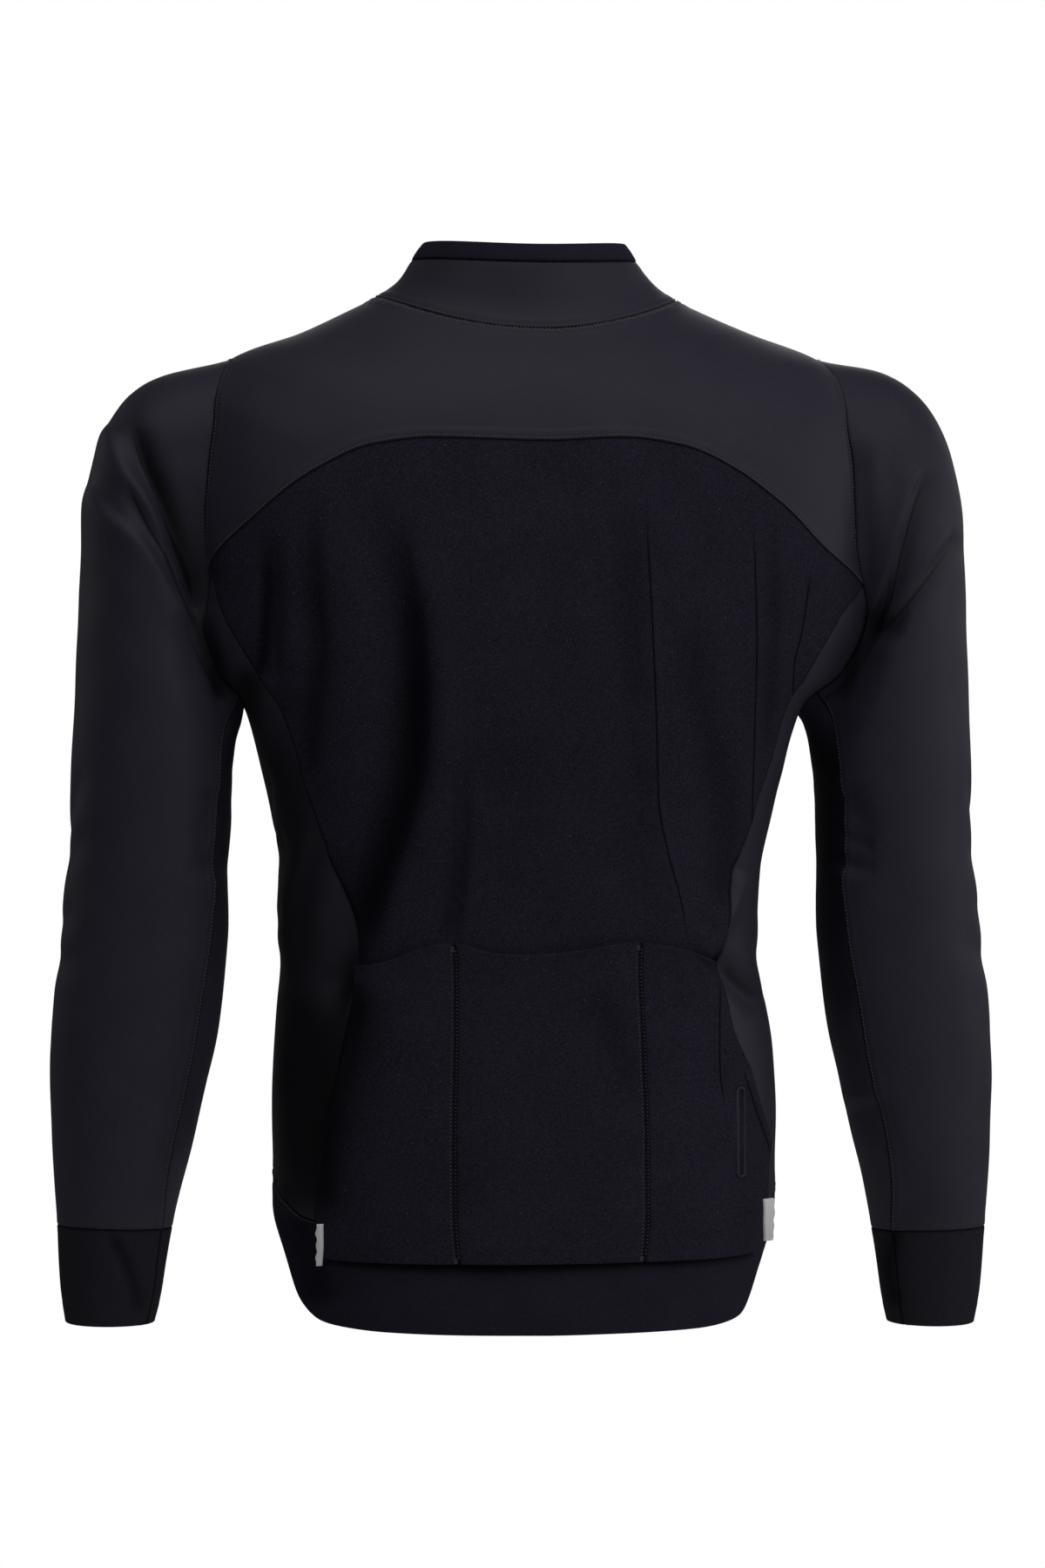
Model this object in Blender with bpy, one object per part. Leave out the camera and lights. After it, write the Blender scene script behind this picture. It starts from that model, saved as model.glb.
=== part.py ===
"""Winter cycling jacket, standing in its worn shape with nobody in it. Metres, +Z up.

The back faces -Y and the wearer's right is +X. The origin lies on the centre line, level with the
shoulders, where the wearer carries the jacket. Body cloth is placed by a turn in degrees round the
body (0 at the centre back, +90 at the wearer's right, 180 at the centre front) and a height z.
"""

import math

import bmesh
import bpy
import numpy as np
from mathutils import Matrix

# Cloth, seams and layers
CLOTH_WALL = 0.002
SEAM_INSET = 0.0002  # each piece stops this far short of a seam
SHARPEST_MITRE = 0.35
SPLIT_DIRECTION = np.array([0.2, 0.5, 1.0])
SIDE_POWER = 6  # how closely a section's wing and sway keep to the sides of the body
POCKET_LIFT = 0.0009
POCKET_MOUTH_LIFT = 0.0026
POCKET_WALL = 0.0016
TRIM_LIFT = 0.0010
TRIM_WALL = 0.0012
SHARP_ANGLE = 50  # degrees between two faces, above which their edge shows

# Front zip
ZIP_HALF_GAP = 0.005  # from the centre line to the edge of each front
TAPE_HALF_WIDTH = 0.0105
TAPE_DEPTH = 0.0032  # outer face of the tape, below the outer face of the front
TAPE_WALL = 0.001
COIL_HALF_WIDTH = 0.0022
COIL_TOP, COIL_BOTTOM = -0.0008, -0.0028
COIL_GAP = 0.0006  # between the slider and the coil below it
TAPE_INNER_EDGE = 0.0003

# Slider and pull tab, measured along (t) and out from (n) the zip at the pivot
SLIDER_LENGTH, SLIDER_WIDTH = 0.0098, 0.008
SLIDER_FACE, SLIDER_BACK = 0.0017, -0.0027
PIVOT_LIFT = 0.0027
SLIDER_RISE = 0.0004  # above the middle of the binding
BRIDGE_WIDTH, BRIDGE_BAR = 0.002, 0.001
BRIDGE_SLOT = 0.003
BRIDGE_DROP = 0.0005  # how far the bar lies below the round of the slot
POST_SHARE = 0.98  # of the bar, so that each post stands just inside its faces
POST_ROOT = 0.0005  # how deep each post is set into the slider
PULL_LENGTH, PULL_WIDTH, PULL_THICK = 0.022, 0.0056, 0.0012
PULL_BAR = 0.0013
PULL_WINDOW = (0.0032, 0.0040)
PULL_CORNER, WINDOW_CORNER = 0.0012, 0.0004

# Reflective tabs and the zip of the wearer's right pocket
TAB_LIFT = 0.0031  # over the edge of the pocket panel
TAB_FLARE = 0.0015  # the outer edge stands out by this much more
WELT_LENGTH, WELT_WIDTH, WELT_RIM = 0.059, 0.0064, 0.0015
WELT_CENTRE = (47.8, -0.5405)
WELT_LEAN = 0.03
WELT_CORNERS = 16
POCKET_COIL_HALF_WIDTH, POCKET_COIL_WALL = 0.001, 0.00072
POCKET_COIL_ROWS = 7

# Columns of cloth between seams, and rows down each piece
BACK_COLUMNS, FRONT_COLUMNS, SHOULDER_ROWS = 26, 8, 5
ARM_STOPS = (-60.0, -20.0, 0.0, 20.0, 75.0, 220.0, 300.0)
ARM_COLUMNS = (2, 2, 2, 4, 8, 5)
UPPER_BACK_ROWS, LOWER_BACK_ROWS = 7, 6
HEM_ROWS = (0.0, 0.35, 0.68, 1.0)
YOKE_FADE = 5
SHOULDER_TURN = 118.0
SIDE_SEAM_TURN = 112.0

# Search for the point of the body nearest to a given one, in turn and section
NEAREST_STEPS = 25
PLAN_STEP = (0.5, 0.01)
LARGEST_STEP = (6.0, 0.4)


def table(columns, *rows):
    """The rows as one array for each named column."""
    return {name: np.array([row[i] for row in rows], float) for i, name in enumerate(columns.split())}


BODY = table(
    "half_width wing sway back_depth front_depth z_back z_side z_front tilt squareness",
    (0.1010, 0.000, 0.0000, 0.066, 0.078, -0.016, 0.009, -0.052, 0.000, 2.0),  # neck seam
    (0.1500, 0.000, 0.0000, 0.092, 0.096, -0.045, -0.0135, -0.085, 0.0008, 2.1),
    (0.2000, 0.000, 0.0000, 0.107, 0.106, -0.085, -0.0345, -0.120, 0.0015, 2.3),  # shoulder
    (0.2180, 0.002, 0.0000, 0.114, 0.111, -0.125, -0.058, -0.150, 0.001, 2.4),
    (0.2220, 0.006, 0.0000, 0.119, 0.115, -0.165, -0.100, -0.180, 0.000, 2.4),  # shoulder blades
    (0.2130, 0.017, 0.0000, 0.122, 0.118, -0.210, -0.155, -0.215, 0.000, 2.4),
    (0.2030, 0.026, 0.0000, 0.122, 0.119, -0.240, -0.205, -0.240, 0.000, 2.35),
    (0.1950, 0.019, -0.001, 0.121, 0.120, -0.260, -0.237, -0.260, 0.000, 2.3),
    (0.1880, -0.003, -0.0022, 0.119, 0.120, -0.280, -0.263, -0.280, 0.000, 2.3),  # armpits
    (0.1750, -0.0058, -0.0028, 0.112, 0.117, -0.320, -0.320, -0.320, 0.000, 2.3),
    (0.1605, -0.0012, -0.0046, 0.104, 0.113, -0.385, -0.385, -0.385, 0.000, 2.3),
    (0.1580, 0.0016, -0.0042, 0.101, 0.112, -0.430, -0.430, -0.430, 0.000, 2.3),  # waist
    (0.1640, 0.0026, -0.0016, 0.106, 0.114, -0.490, -0.490, -0.490, 0.000, 2.3),
    (0.1680, -0.0003, -0.0010, 0.113, 0.115, -0.550, -0.550, -0.550, 0.000, 2.3),
    (0.1680, -0.0008, -0.0012, 0.116, 0.114, -0.590, -0.590, -0.590, 0.000, 2.3),
    (0.1580, -0.0010, -0.0035, 0.117, 0.112, -0.635, -0.635, -0.635, 0.000, 2.3),
    (0.1480, 0.0040, -0.0100, 0.116, 0.110, -0.680, -0.680, -0.680, 0.000, 2.3),  # below the tail
)

COLLAR = table(
    "half_width wing sway back_depth front_depth z_back z_side z_front tilt squareness",
    (0.1010, 0.000, 0.0000, 0.066, 0.078, -0.016, 0.009, -0.052, 0.000, 2.0),  # neck seam, as BODY's
    (0.0860, 0.000, 0.0000, 0.061, 0.075, 0.001, 0.020, -0.027, 0.000, 2.0),
    (0.0752, 0.000, -0.001, 0.057, 0.071, 0.0285, 0.034, 0.018, 0.000, 2.0),  # binding seam
    (0.0670, 0.000, -0.001, 0.054, 0.069, 0.0408, 0.0463, 0.0295, 0.000, 2.1),  # top edge
)

# Round each armhole from the armpit (0) by the back (90) and the shoulder (180) to the front (270)
ARMHOLE = table(
    "round left_turn left_z right_turn right_z",
    (-60, 112, -0.213, 112, -0.213),
    (-30, 101, -0.247, 101, -0.247),
    (0, 90, -0.2625, 90, -0.2625),
    (20, 79, -0.254, 84, -0.251),
    (45, 73, -0.226, 83, -0.224),
    (60, 72, -0.201, 79, -0.202),
    (75, 70.5, -0.172, 73, -0.181),  # yoke corner
    (95, 68.5, -0.142, 67, -0.148),
    (115, 66.2, -0.112, 64.5, -0.115),
    (135, 66.2, -0.085, 64.5, -0.088),
    (155, 69, -0.060, 67, -0.063),
    (180, 87, -0.0335, 87, -0.0295),
    (200, 106, -0.046, 106, -0.046),
    (220, 115, -0.068, 115, -0.068),  # forward shoulder seam
    (245, 119, -0.112, 119, -0.112),
    (270, 119, -0.158, 119, -0.158),
    (300, 112, -0.213, 112, -0.213),  # side seam of the front
)

YOKE_ARC = table(
    "turn z",
    (-70.5, -0.172),
    (-52, -0.140),
    (-39.5, -0.111),
    (-30, -0.095),
    (-20, -0.0905),
    (0, -0.092),
    (15, -0.0895),
    (24, -0.094),
    (33.5, -0.1105),
    (40, -0.1265),
    (54, -0.1585),
    (73, -0.181),
)

# Seam between the back and a side panel, from the yoke corner to the hem band
PRINCESS = table(
    "left_turn left_z right_turn right_z",
    (70.5, -0.172, 73, -0.181),
    (65, -0.200, 63, -0.203),
    (60, -0.240, 58, -0.240),
    (58.5, -0.285, 57.5, -0.285),
    (54.8, -0.334, 54, -0.336),
    (50.5, -0.378, 50, -0.380),
    (47, -0.432, 47.3, -0.430),  # pocket mouth
    (47.8, -0.470, 48.4, -0.470),
    (50.8, -0.515, 57.8, -0.515),
    (55.2, -0.556, 63, -0.552),
    (55.8, -0.5962, 61.5, -0.5945),
)
POCKET_MOUTH_STOP = 6

HEM = table(
    "turn seam_z edge_z",
    (0, -0.5965, -0.6675),
    (40, -0.5965, -0.6665),
    (55.8, -0.5962, -0.6640),
    (61.5, -0.5945, -0.6605),
    (70, -0.586, -0.6500),
    (77, -0.579, -0.635),
    (85, -0.573, -0.609),
    (95, -0.569, -0.592),
    (112, -0.566, -0.588),
    (180, -0.566, -0.588),
)

TAB = table(
    "left_z left_inner left_outer right_z right_inner right_outer",
    (-0.5975, 51.8, 54.8, -0.5855, 57.2, 62.0),
    (-0.6110, 53.0, 56.0, -0.5990, 58.0, 62.8),
    (-0.6245, 55.2, 58.3, -0.6125, 61.2, 66.0),
)

POCKET_MOUTH = table(
    "turn z",
    (-47, -0.432),
    (-40, -0.4295),
    (-25, -0.4170),
    (-20, -0.4165),
    (-12, -0.4220),
    (-3, -0.4232),
    (4, -0.4218),
    (15, -0.4172),
    (21, -0.4152),
    (26, -0.4168),
    (35, -0.4213),
    (47.3, -0.430),
)

# Sleeve sections, seen from behind: outermost and innermost points, then depth front to back
SLEEVE = table(
    "outer_x outer_z inner_x inner_z half_depth y_centre back_seam front_seam tilt left_sway right_sway",
    (0.2015, -0.034, 0.190, -0.2625, 0.056, 0.004, 20, 20, 0.002, 0, 0),  # armhole
    (0.2466, -0.0440, 0.191, -0.269, 0.059, 0.004, 24, 24, 0.0035, 0, 0),
    (0.2650, -0.0548, 0.1920, -0.273, 0.061, 0.004, 27, 26, 0.0033, 0.0005, 0),
    (0.2852, -0.0895, 0.1945, -0.284, 0.063, 0.004, 30, 30, 0.0020, 0.0005, 0),
    (0.2950, -0.1366, 0.1960, -0.300, 0.064, 0.004, 33, 34, 0.0008, 0.0005, 0),
    (0.2975, -0.183, 0.197, -0.313, 0.064, 0.004, 35, 38, 0, 0.0015, 0),
    (0.2995, -0.2386, 0.1972, -0.333, 0.062, 0.003, 36, 40, 0, 0.0015, 0),
    (0.302, -0.295, 0.1978, -0.352, 0.060, 0.002, 36, 40, 0, 0.001, -0.0005),
    (0.3035, -0.347, 0.1984, -0.378, 0.057, 0.002, 36, 40, 0, 0.0005, -0.001),  # elbow
    (0.3085, -0.406, 0.198, -0.408, 0.055, 0.004, 40, 42, 0, 0.0005, 0),
    (0.315, -0.476, 0.2048, -0.4755, 0.053, 0.008, 45, 45, 0, 0.0006, 0.0015),
    (0.3155, -0.511, 0.2122, -0.511, 0.051, 0.010, 45, 45, -0.0006, 0.0006, 0.0022),
    (0.3143, -0.546, 0.2203, -0.546, 0.048, 0.012, 47, 45, -0.0014, 0.0008, 0.0024),
    (0.313, -0.580, 0.2288, -0.580, 0.045, 0.014, 44, 45, -0.0024, 0.0009, 0.0028),
    (0.311, -0.6075, 0.235, -0.6095, 0.041, 0.016, 38, 45, -0.0034, 0.0009, 0.003),  # cuff seam
    (0.3085, -0.650, 0.241, -0.650, 0.037, 0.018, 38, 45, -0.0036, 0.0006, 0.003),
    (0.304, -0.673, 0.2458, -0.673, 0.035, 0.019, 38, 45, -0.0036, -0.0005, 0.0035),  # cuff edge
)
ARM_ROWS = (0, 0.5, 1, 1.6, 2.3, 3, 3.8, 4.6, 5.5, 6.4, 7.2, 8, 8.8, 9.6, 10.4, 11.4, 12.6, 14)
CUFF_ROWS = (14, 14.8, 15.5, 16)
CAP_SECTIONS = 5.0  # sections over which the round armhole becomes the sleeve's own oval

# The largest folds: + is a ridge and - a trough, half its height at `width` from its middle.
# A path runs over (x, z) as seen from behind, on the back or on the front of the cloth.
FOLDS = (
    # name, face, height, width
    # path
    (
        ("back left trough", "back", -0.0065, 0.011),
        (-0.101, -0.168),
        (-0.095, -0.235),
        (-0.085, -0.302),
        (-0.087, -0.347),
        (-0.100, -0.392),
        (-0.109, -0.418),
    ),
    (("back left swell", "back", 0.003, 0.014), (-0.064, -0.230), (-0.056, -0.310), (-0.064, -0.380)),
    (("blade trough", "back", -0.004, 0.010), (-0.178, -0.165), (-0.180, -0.210), (-0.172, -0.250)),
    (
        ("side ridge left", "back", 0.004, 0.009),
        (-0.172, -0.300),
        (-0.160, -0.342),
        (-0.155, -0.376),
        (-0.150, -0.415),
    ),
    (("back right valley", "back", -0.004, 0.016), (0.039, -0.190), (0.053, -0.313), (0.051, -0.400)),
    (
        ("back right crease", "back", -0.003, 0.009),
        (0.061, -0.165),
        (0.068, -0.257),
        (0.079, -0.352),
        (0.095, -0.405),
    ),
    (("side crease right", "back", -0.004, 0.010), (0.138, -0.210), (0.139, -0.273), (0.138, -0.356)),
    (("waist ridge right", "back", 0.003, 0.010), (0.135, -0.375), (0.113, -0.412)),
    (("drag ridge left", "back", 0.004, 0.012), (-0.278, -0.092), (-0.250, -0.133), (-0.228, -0.186)),
    (("drag trough left", "back", -0.005, 0.012), (-0.261, -0.075), (-0.246, -0.115), (-0.228, -0.165)),
    (("drag trough right", "back", -0.006, 0.010), (0.270, -0.149), (0.252, -0.180), (0.228, -0.212)),
    (("elbow trough left", "back", -0.006, 0.010), (-0.206, -0.315), (-0.214, -0.350), (-0.206, -0.378)),
    (("elbow trough right", "back", -0.006, 0.010), (0.204, -0.315), (0.218, -0.345), (0.206, -0.375)),
    (("front left trough", "front", -0.005, 0.014), (-0.150, -0.190), (-0.110, -0.300), (-0.085, -0.430)),
    (("front right trough", "front", -0.005, 0.014), (0.150, -0.190), (0.112, -0.290), (0.090, -0.410)),
    (("elbow front left", "front", -0.006, 0.010), (-0.205, -0.335), (-0.245, -0.360), (-0.285, -0.350)),
    (("elbow front right", "front", -0.006, 0.010), (0.205, -0.340), (0.245, -0.362), (0.285, -0.355)),
)
FOLD_TAPER = 5.0  # a fold rises over the first and sinks over the last fifth of its path
FOLD_END = 0.15  # what is left of it at its very ends, as a share of the taper
FACING_SLOPE = 1.5  # how fast a back fold dies out where the cloth turns to the side

COLOURS = {  # base colour and roughness
    "smooth shell": ((0.026, 0.025, 0.034), 0.62),
    "brushed knit": ((0.013, 0.012, 0.018), 0.92),
    "rib cuff": ((0.011, 0.011, 0.015), 0.9),
    "reflective": ((0.72, 0.73, 0.75), 0.4),
    "zip": ((0.012, 0.012, 0.014), 0.5),
    "metal": ((0.05, 0.05, 0.055), 0.4),
}


def through(knots, values, at):
    """The smooth curve through values at rising knots. It never overshoots them."""
    knots, values, at = (np.asarray(v, float) for v in (knots, values, at))
    span = np.diff(knots)
    slope = np.diff(values) / span
    before, after = slope[:-1], slope[1:]
    same = before * after > 0
    inner = np.where(same, 2 * before * after / np.where(same, before + after, 1), 0)
    tangent = np.concatenate([slope[:1], inner, slope[-1:]])
    i = np.clip(np.searchsorted(knots, at, side="right") - 1, 0, len(span) - 1)
    f = (at - knots[i]) / span[i]
    start = values[i] * (1 + 2 * f) * (1 - f) ** 2 + tangent[i] * span[i] * f * (1 - f) ** 2
    end = values[i + 1] * f**2 * (3 - 2 * f) + tangent[i + 1] * span[i] * f**2 * (f - 1)
    return start + end


def unit(vectors):
    return vectors / np.linalg.norm(vectors, axis=-1, keepdims=True)


def smoothstep(x):
    x = np.clip(x, 0, 1)
    return x * x * (3 - 2 * x)


def ring_height(rings, turn, section):
    c = np.cos(np.radians(turn))
    stops = np.arange(len(rings["z_side"]))
    s = np.sin(np.radians(turn))
    side = through(stops, rings["z_side"], section) + through(stops, rings["tilt"], section) * s
    end = np.where(
        c > 0, through(stops, rings["z_back"], section), through(stops, rings["z_front"], section)
    )
    return side + (end - side) * c * c


def ring_point(rings, turn, section):
    """The point at a turn round one oval section of the body or of the collar."""
    stops = np.arange(len(rings["z_side"]))
    width, wing, sway, back, front, power = (
        through(stops, rings[name], section)
        for name in ("half_width", "wing", "sway", "back_depth", "front_depth", "squareness")
    )
    s, c = np.sin(np.radians(turn)), np.cos(np.radians(turn))
    scale = (abs(s) ** power + abs(c) ** power) ** (-1 / power)
    x = width * s * scale + (wing * np.sign(s) + sway) * abs(s) ** SIDE_POWER
    y = -np.where(c > 0, back, front) * c * scale
    return np.stack([x, y, ring_height(rings, turn, section)], -1)


def body_section(turn, z):
    """The section of BODY whose height at this turn is z, found by halving."""
    turn, z = np.broadcast_arrays(np.asarray(turn, float), np.asarray(z, float))
    low, high = np.zeros(z.shape), np.full(z.shape, len(BODY["z_side"]) - 1.0)
    for _ in range(40):
        middle = (low + high) / 2
        above = ring_height(BODY, turn, middle) > z
        low, high = np.where(above, middle, low), np.where(above, high, middle)
    return (low + high) / 2


def outward(rings, turn, section):
    """The outward direction of the plain oval form, before folds."""
    last = len(rings["z_side"]) - 1
    down = ring_point(rings, turn, np.clip(section + 0.05, 0, last))
    up = ring_point(rings, turn, np.clip(section - 0.05, 0, last))
    across = ring_point(rings, turn + 1, section) - ring_point(rings, turn - 1, section)
    return unit(np.cross(down - up, across))


def from_path(x, z, path):
    """How far (x, z) is from a path of straight stretches, and how far along it, from 0 to 1."""
    path = np.array(path)
    lengths = np.linalg.norm(np.diff(path, axis=0), axis=1)
    before = np.concatenate([[0], np.cumsum(lengths)])
    away, along = np.full(x.shape, np.inf), np.zeros(x.shape)
    for i, length in enumerate(lengths):
        (x0, z0), (dx, dz) = path[i], (path[i + 1] - path[i]) / length
        reach = np.clip((x - x0) * dx + (z - z0) * dz, 0, length)
        distance = np.hypot(x - x0 - reach * dx, z - z0 - reach * dz)
        nearer = distance < away
        away = np.where(nearer, distance, away)
        along = np.where(nearer, (before[i] + reach) / before[-1], along)
    return away, along


def folded(points, normals):
    """The points moved out or in by the folds that lie over them."""
    x, z = points[..., 0], points[..., 2]
    facing_back = np.clip(0.5 - FACING_SLOPE * normals[..., 1], 0, 1)
    height = np.zeros(x.shape)
    for (_, face, rise, width), *path in FOLDS:
        away, along = from_path(x, z, path)
        ends = smoothstep(along * FOLD_TAPER + FOLD_END)
        ends *= smoothstep((1 - along) * FOLD_TAPER + FOLD_END)
        seen = facing_back if face == "back" else 1 - facing_back
        height += rise * np.exp(-math.log(2) * (away / width) ** 2) * ends * seen
    return points + normals * height[..., None]


def place(turn, z):
    """Plan points (turn, section) at heights z on the body."""
    turn, z = np.broadcast_arrays(np.asarray(turn, float), np.asarray(z, float))
    return np.stack([turn, body_section(turn, z)], -1)


def body_normals(plan):
    return outward(BODY, plan[..., 0], plan[..., 1])


def body_points(plan):
    """Points of the cloth for a plan whose last axis is (turn, section)."""
    return folded(ring_point(BODY, plan[..., 0], plan[..., 1]), body_normals(plan))


def joined(*stretches):
    """Stretches of one seam end to end, each shared point kept once."""
    return np.concatenate([stretches[0], *(stretch[1:] for stretch in stretches[1:])])


def side_name(side):
    return "right" if side > 0 else "left"


def armhole(side, angle):
    name = side_name(side)
    turn = through(ARMHOLE["round"], ARMHOLE[name + "_turn"], angle)
    return place(side * turn, through(ARMHOLE["round"], ARMHOLE[name + "_z"], angle))


def arm_angles(first, last):
    """The angles of the columns round an armhole between two of its seams."""
    start, stop = ARM_STOPS.index(first), ARM_STOPS.index(last)
    spans = [
        np.linspace(ARM_STOPS[i], ARM_STOPS[i + 1], ARM_COLUMNS[i] + 1) for i in range(start, stop)
    ]
    return joined(*spans)


def princess(side, stops):
    name = side_name(side)
    knots = np.arange(len(PRINCESS[name + "_z"]))
    turn = through(knots, PRINCESS[name + "_turn"], stops)
    return place(side * turn, through(knots, PRINCESS[name + "_z"], stops))


def neck(turns):
    return np.stack([turns, np.zeros(len(turns))], -1)


def hem(turns, column):
    return place(turns, through(HEM["turn"], HEM[column], abs(turns)))


def between(start, end, count):
    return start + (end - start) * np.linspace(0, 1, count + 1)[:, None]


def patch(top, bottom, left, right, fade=1):
    """A grid between four edges that meet at their ends. A higher fade keeps the sides' bends near them."""
    v = np.linspace(0, 1, len(left))[:, None]
    u = np.linspace(0, 1, len(top))[None, :, None]
    left_bend = (left - (1 - v) * top[0] - v * bottom[0])[:, None]
    right_bend = (right - (1 - v) * top[-1] - v * bottom[-1])[:, None]
    v = v[:, None]
    return (1 - v) * top + v * bottom + (1 - u) ** fade * left_bend + u**fade * right_bend


def nearest_plan(points, plan):
    """The plan whose places on the plain form lie nearest to the points, found step by step."""
    for _ in range(NEAREST_STEPS):
        here, (by_turn, by_section) = ring_point(BODY, *np.moveaxis(plan, -1, 0)), PLAN_STEP
        across = (ring_point(BODY, plan[..., 0] + by_turn, plan[..., 1]) - here) / by_turn
        down = (ring_point(BODY, plan[..., 0], plan[..., 1] + by_section) - here) / by_section
        aa, dd, ad = (np.sum(m * n, -1) for m, n in ((across, across), (down, down), (across, down)))
        ra, rd = (np.sum(m * (points - here), -1) for m in (across, down))
        step = np.stack([ra * dd - rd * ad, rd * aa - ra * ad], -1) / (aa * dd - ad * ad)[..., None]
        plan = plan + np.clip(step, -np.array(LARGEST_STEP), LARGEST_STEP)
        plan[..., 1] = np.maximum(plan[..., 1], 0)
    return plan


def mirrored_order(side, plan):
    """Left pieces are planned from front to back, so their columns are turned round."""
    return plan if side > 0 else plan[:, ::-1]


def shoulder_seam(side):
    """The forward shoulder seam of the yoke and a front, from the neck to the armhole."""
    start = neck(np.array([side * SHOULDER_TURN]))[0]
    return between(start, armhole(side, np.array([ARM_STOPS[5]]))[0], SHOULDER_ROWS)


def across_back(line):
    """A seam across the back, from its first turn to its last in even columns."""
    turns = np.linspace(line["turn"][0], line["turn"][-1], BACK_COLUMNS + 1)
    return place(turns, through(line["turn"], line["z"], turns))


def yoke_plan():
    """From the back of the neck down. Its sides run along the shoulder seams, then the armholes."""
    top = neck(np.linspace(-SHOULDER_TURN, SHOULDER_TURN, BACK_COLUMNS + 1))
    angles = arm_angles(75.0, 220.0)[::-1]
    left, right = (joined(shoulder_seam(side), armhole(side, angles)) for side in (-1, 1))
    edges = (top, across_back(YOKE_ARC), left, right)
    form = patch(*(ring_point(BODY, *edge.T) for edge in edges), fade=YOKE_FADE)
    plan = patch(*edges, fade=YOKE_FADE)
    inside = np.maximum(plan[1:-1, 1:-1], 0)
    plan[1:-1, 1:-1] = nearest_plan(form[1:-1, 1:-1], inside)
    return plan


def princess_stops():
    last = len(PRINCESS["left_z"]) - 1
    upper = np.linspace(0, POCKET_MOUTH_STOP, UPPER_BACK_ROWS + 1)
    return joined(upper, np.linspace(POCKET_MOUTH_STOP, last, LOWER_BACK_ROWS + 1))


def back_plan():
    stops = princess_stops()
    upper, lower = stops[: UPPER_BACK_ROWS + 1], stops[UPPER_BACK_ROWS:]
    left, right = princess(-1, stops[-1:])[0], princess(1, stops[-1:])[0]
    bottom = hem(np.linspace(left[0], right[0], BACK_COLUMNS + 1), "seam_z")
    mouth = across_back(POCKET_MOUTH)
    above = patch(across_back(YOKE_ARC), mouth, princess(-1, upper), princess(1, upper))
    below = patch(mouth, bottom, princess(-1, lower), princess(1, lower))
    return joined(above, below)


def side_seam(side):
    """The seam of a front and a side panel, from the armhole down to the hem band."""
    start = armhole(side, np.array([ARM_STOPS[-1]]))[0]
    end = hem(np.array([side * SIDE_SEAM_TURN]), "seam_z")[0]
    return between(start, end, UPPER_BACK_ROWS + LOWER_BACK_ROWS)


def side_plan(side):
    top = armhole(side, arm_angles(-60.0, 75.0)[::-1])
    back_edge = princess(side, princess_stops())
    front_edge = side_seam(side)
    turns = np.linspace(back_edge[-1, 0], front_edge[-1, 0], len(top))
    edges = (top, hem(turns, "seam_z"), back_edge, front_edge)
    level = patch(*(np.stack([edge[:, 0], ring_height(BODY, *edge.T)], -1) for edge in edges))
    return mirrored_order(side, place(level[..., 0], level[..., 1]))


def front_plan(side):
    top = neck(side * np.linspace(SHOULDER_TURN, 180, FRONT_COLUMNS + 1))
    arm_edge = armhole(side, arm_angles(220.0, 300.0))
    outer_edge = joined(shoulder_seam(side), arm_edge, side_seam(side))
    bottom = hem(side * np.linspace(SIDE_SEAM_TURN, 180, len(top)), "seam_z")
    down = (outer_edge[:, 1] - outer_edge[0, 1]) / (outer_edge[-1, 1] - outer_edge[0, 1])
    centre = top[-1] + (bottom[-1] - top[-1]) * down[:, None]
    return mirrored_order(side, patch(top, bottom, outer_edge, centre))


def hem_plan(plans):
    names = ("front_left", "side_panel_left", "back_panel", "side_panel_right", "front_right")
    top = joined(*(plans[name][-1] for name in names))
    edge = hem(top[:, 0], "edge_z")
    return np.stack([top + (edge - top) * part for part in HEM_ROWS])


def with_zip_edge(points, *columns):
    """The named columns (0 the wearer's left front edge, -1 the right) set back from the centre."""
    for column in columns:
        points[:, column, 0] = ZIP_HALF_GAP if column == -1 else -ZIP_HALF_GAP
    return points


def collar_points(sections):
    turns = joined(
        np.linspace(-180, -SHOULDER_TURN, FRONT_COLUMNS + 1),
        np.linspace(-SHOULDER_TURN, SHOULDER_TURN, BACK_COLUMNS + 1),
        np.linspace(SHOULDER_TURN, 180, FRONT_COLUMNS + 1),
    )
    turn, section = np.meshgrid(turns, sections)
    points = ring_point(COLLAR, turn, section)
    return with_zip_edge(points, 0, -1)


def sleeve_oval(side, angle, section):
    stops = np.arange(len(SLEEVE["outer_x"]))
    outer_x, outer_z, inner_x, inner_z, depth, y_centre, tilt, sway = (
        through(stops, SLEEVE[name], section)
        for name in (
            "outer_x",
            "outer_z",
            "inner_x",
            "inner_z",
            "half_depth",
            "y_centre",
            "tilt",
            side_name(side) + "_sway",
        )
    )
    s, c = np.sin(np.radians(angle)), np.cos(np.radians(angle))
    x = (outer_x + inner_x - (outer_x - inner_x) * c) / 2
    z = (outer_z + inner_z - (outer_z - inner_z) * c) / 2
    return np.stack([side * x + sway, y_centre - depth * s, z + side * tilt], -1)


def sleeve_form(side, angle, section):
    """The oval sections, blended at the top from the armhole's own outline."""
    first = np.zeros(np.shape(section))
    plan = armhole(side, np.where(angle > ARM_STOPS[-1], angle - 360, angle))
    hole = ring_point(BODY, plan[..., 0], plan[..., 1])
    pull = 1 - smoothstep(section / CAP_SECTIONS)
    shift = hole - sleeve_oval(side, angle, first)
    return sleeve_oval(side, angle, section) + shift * pull[..., None]


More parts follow.
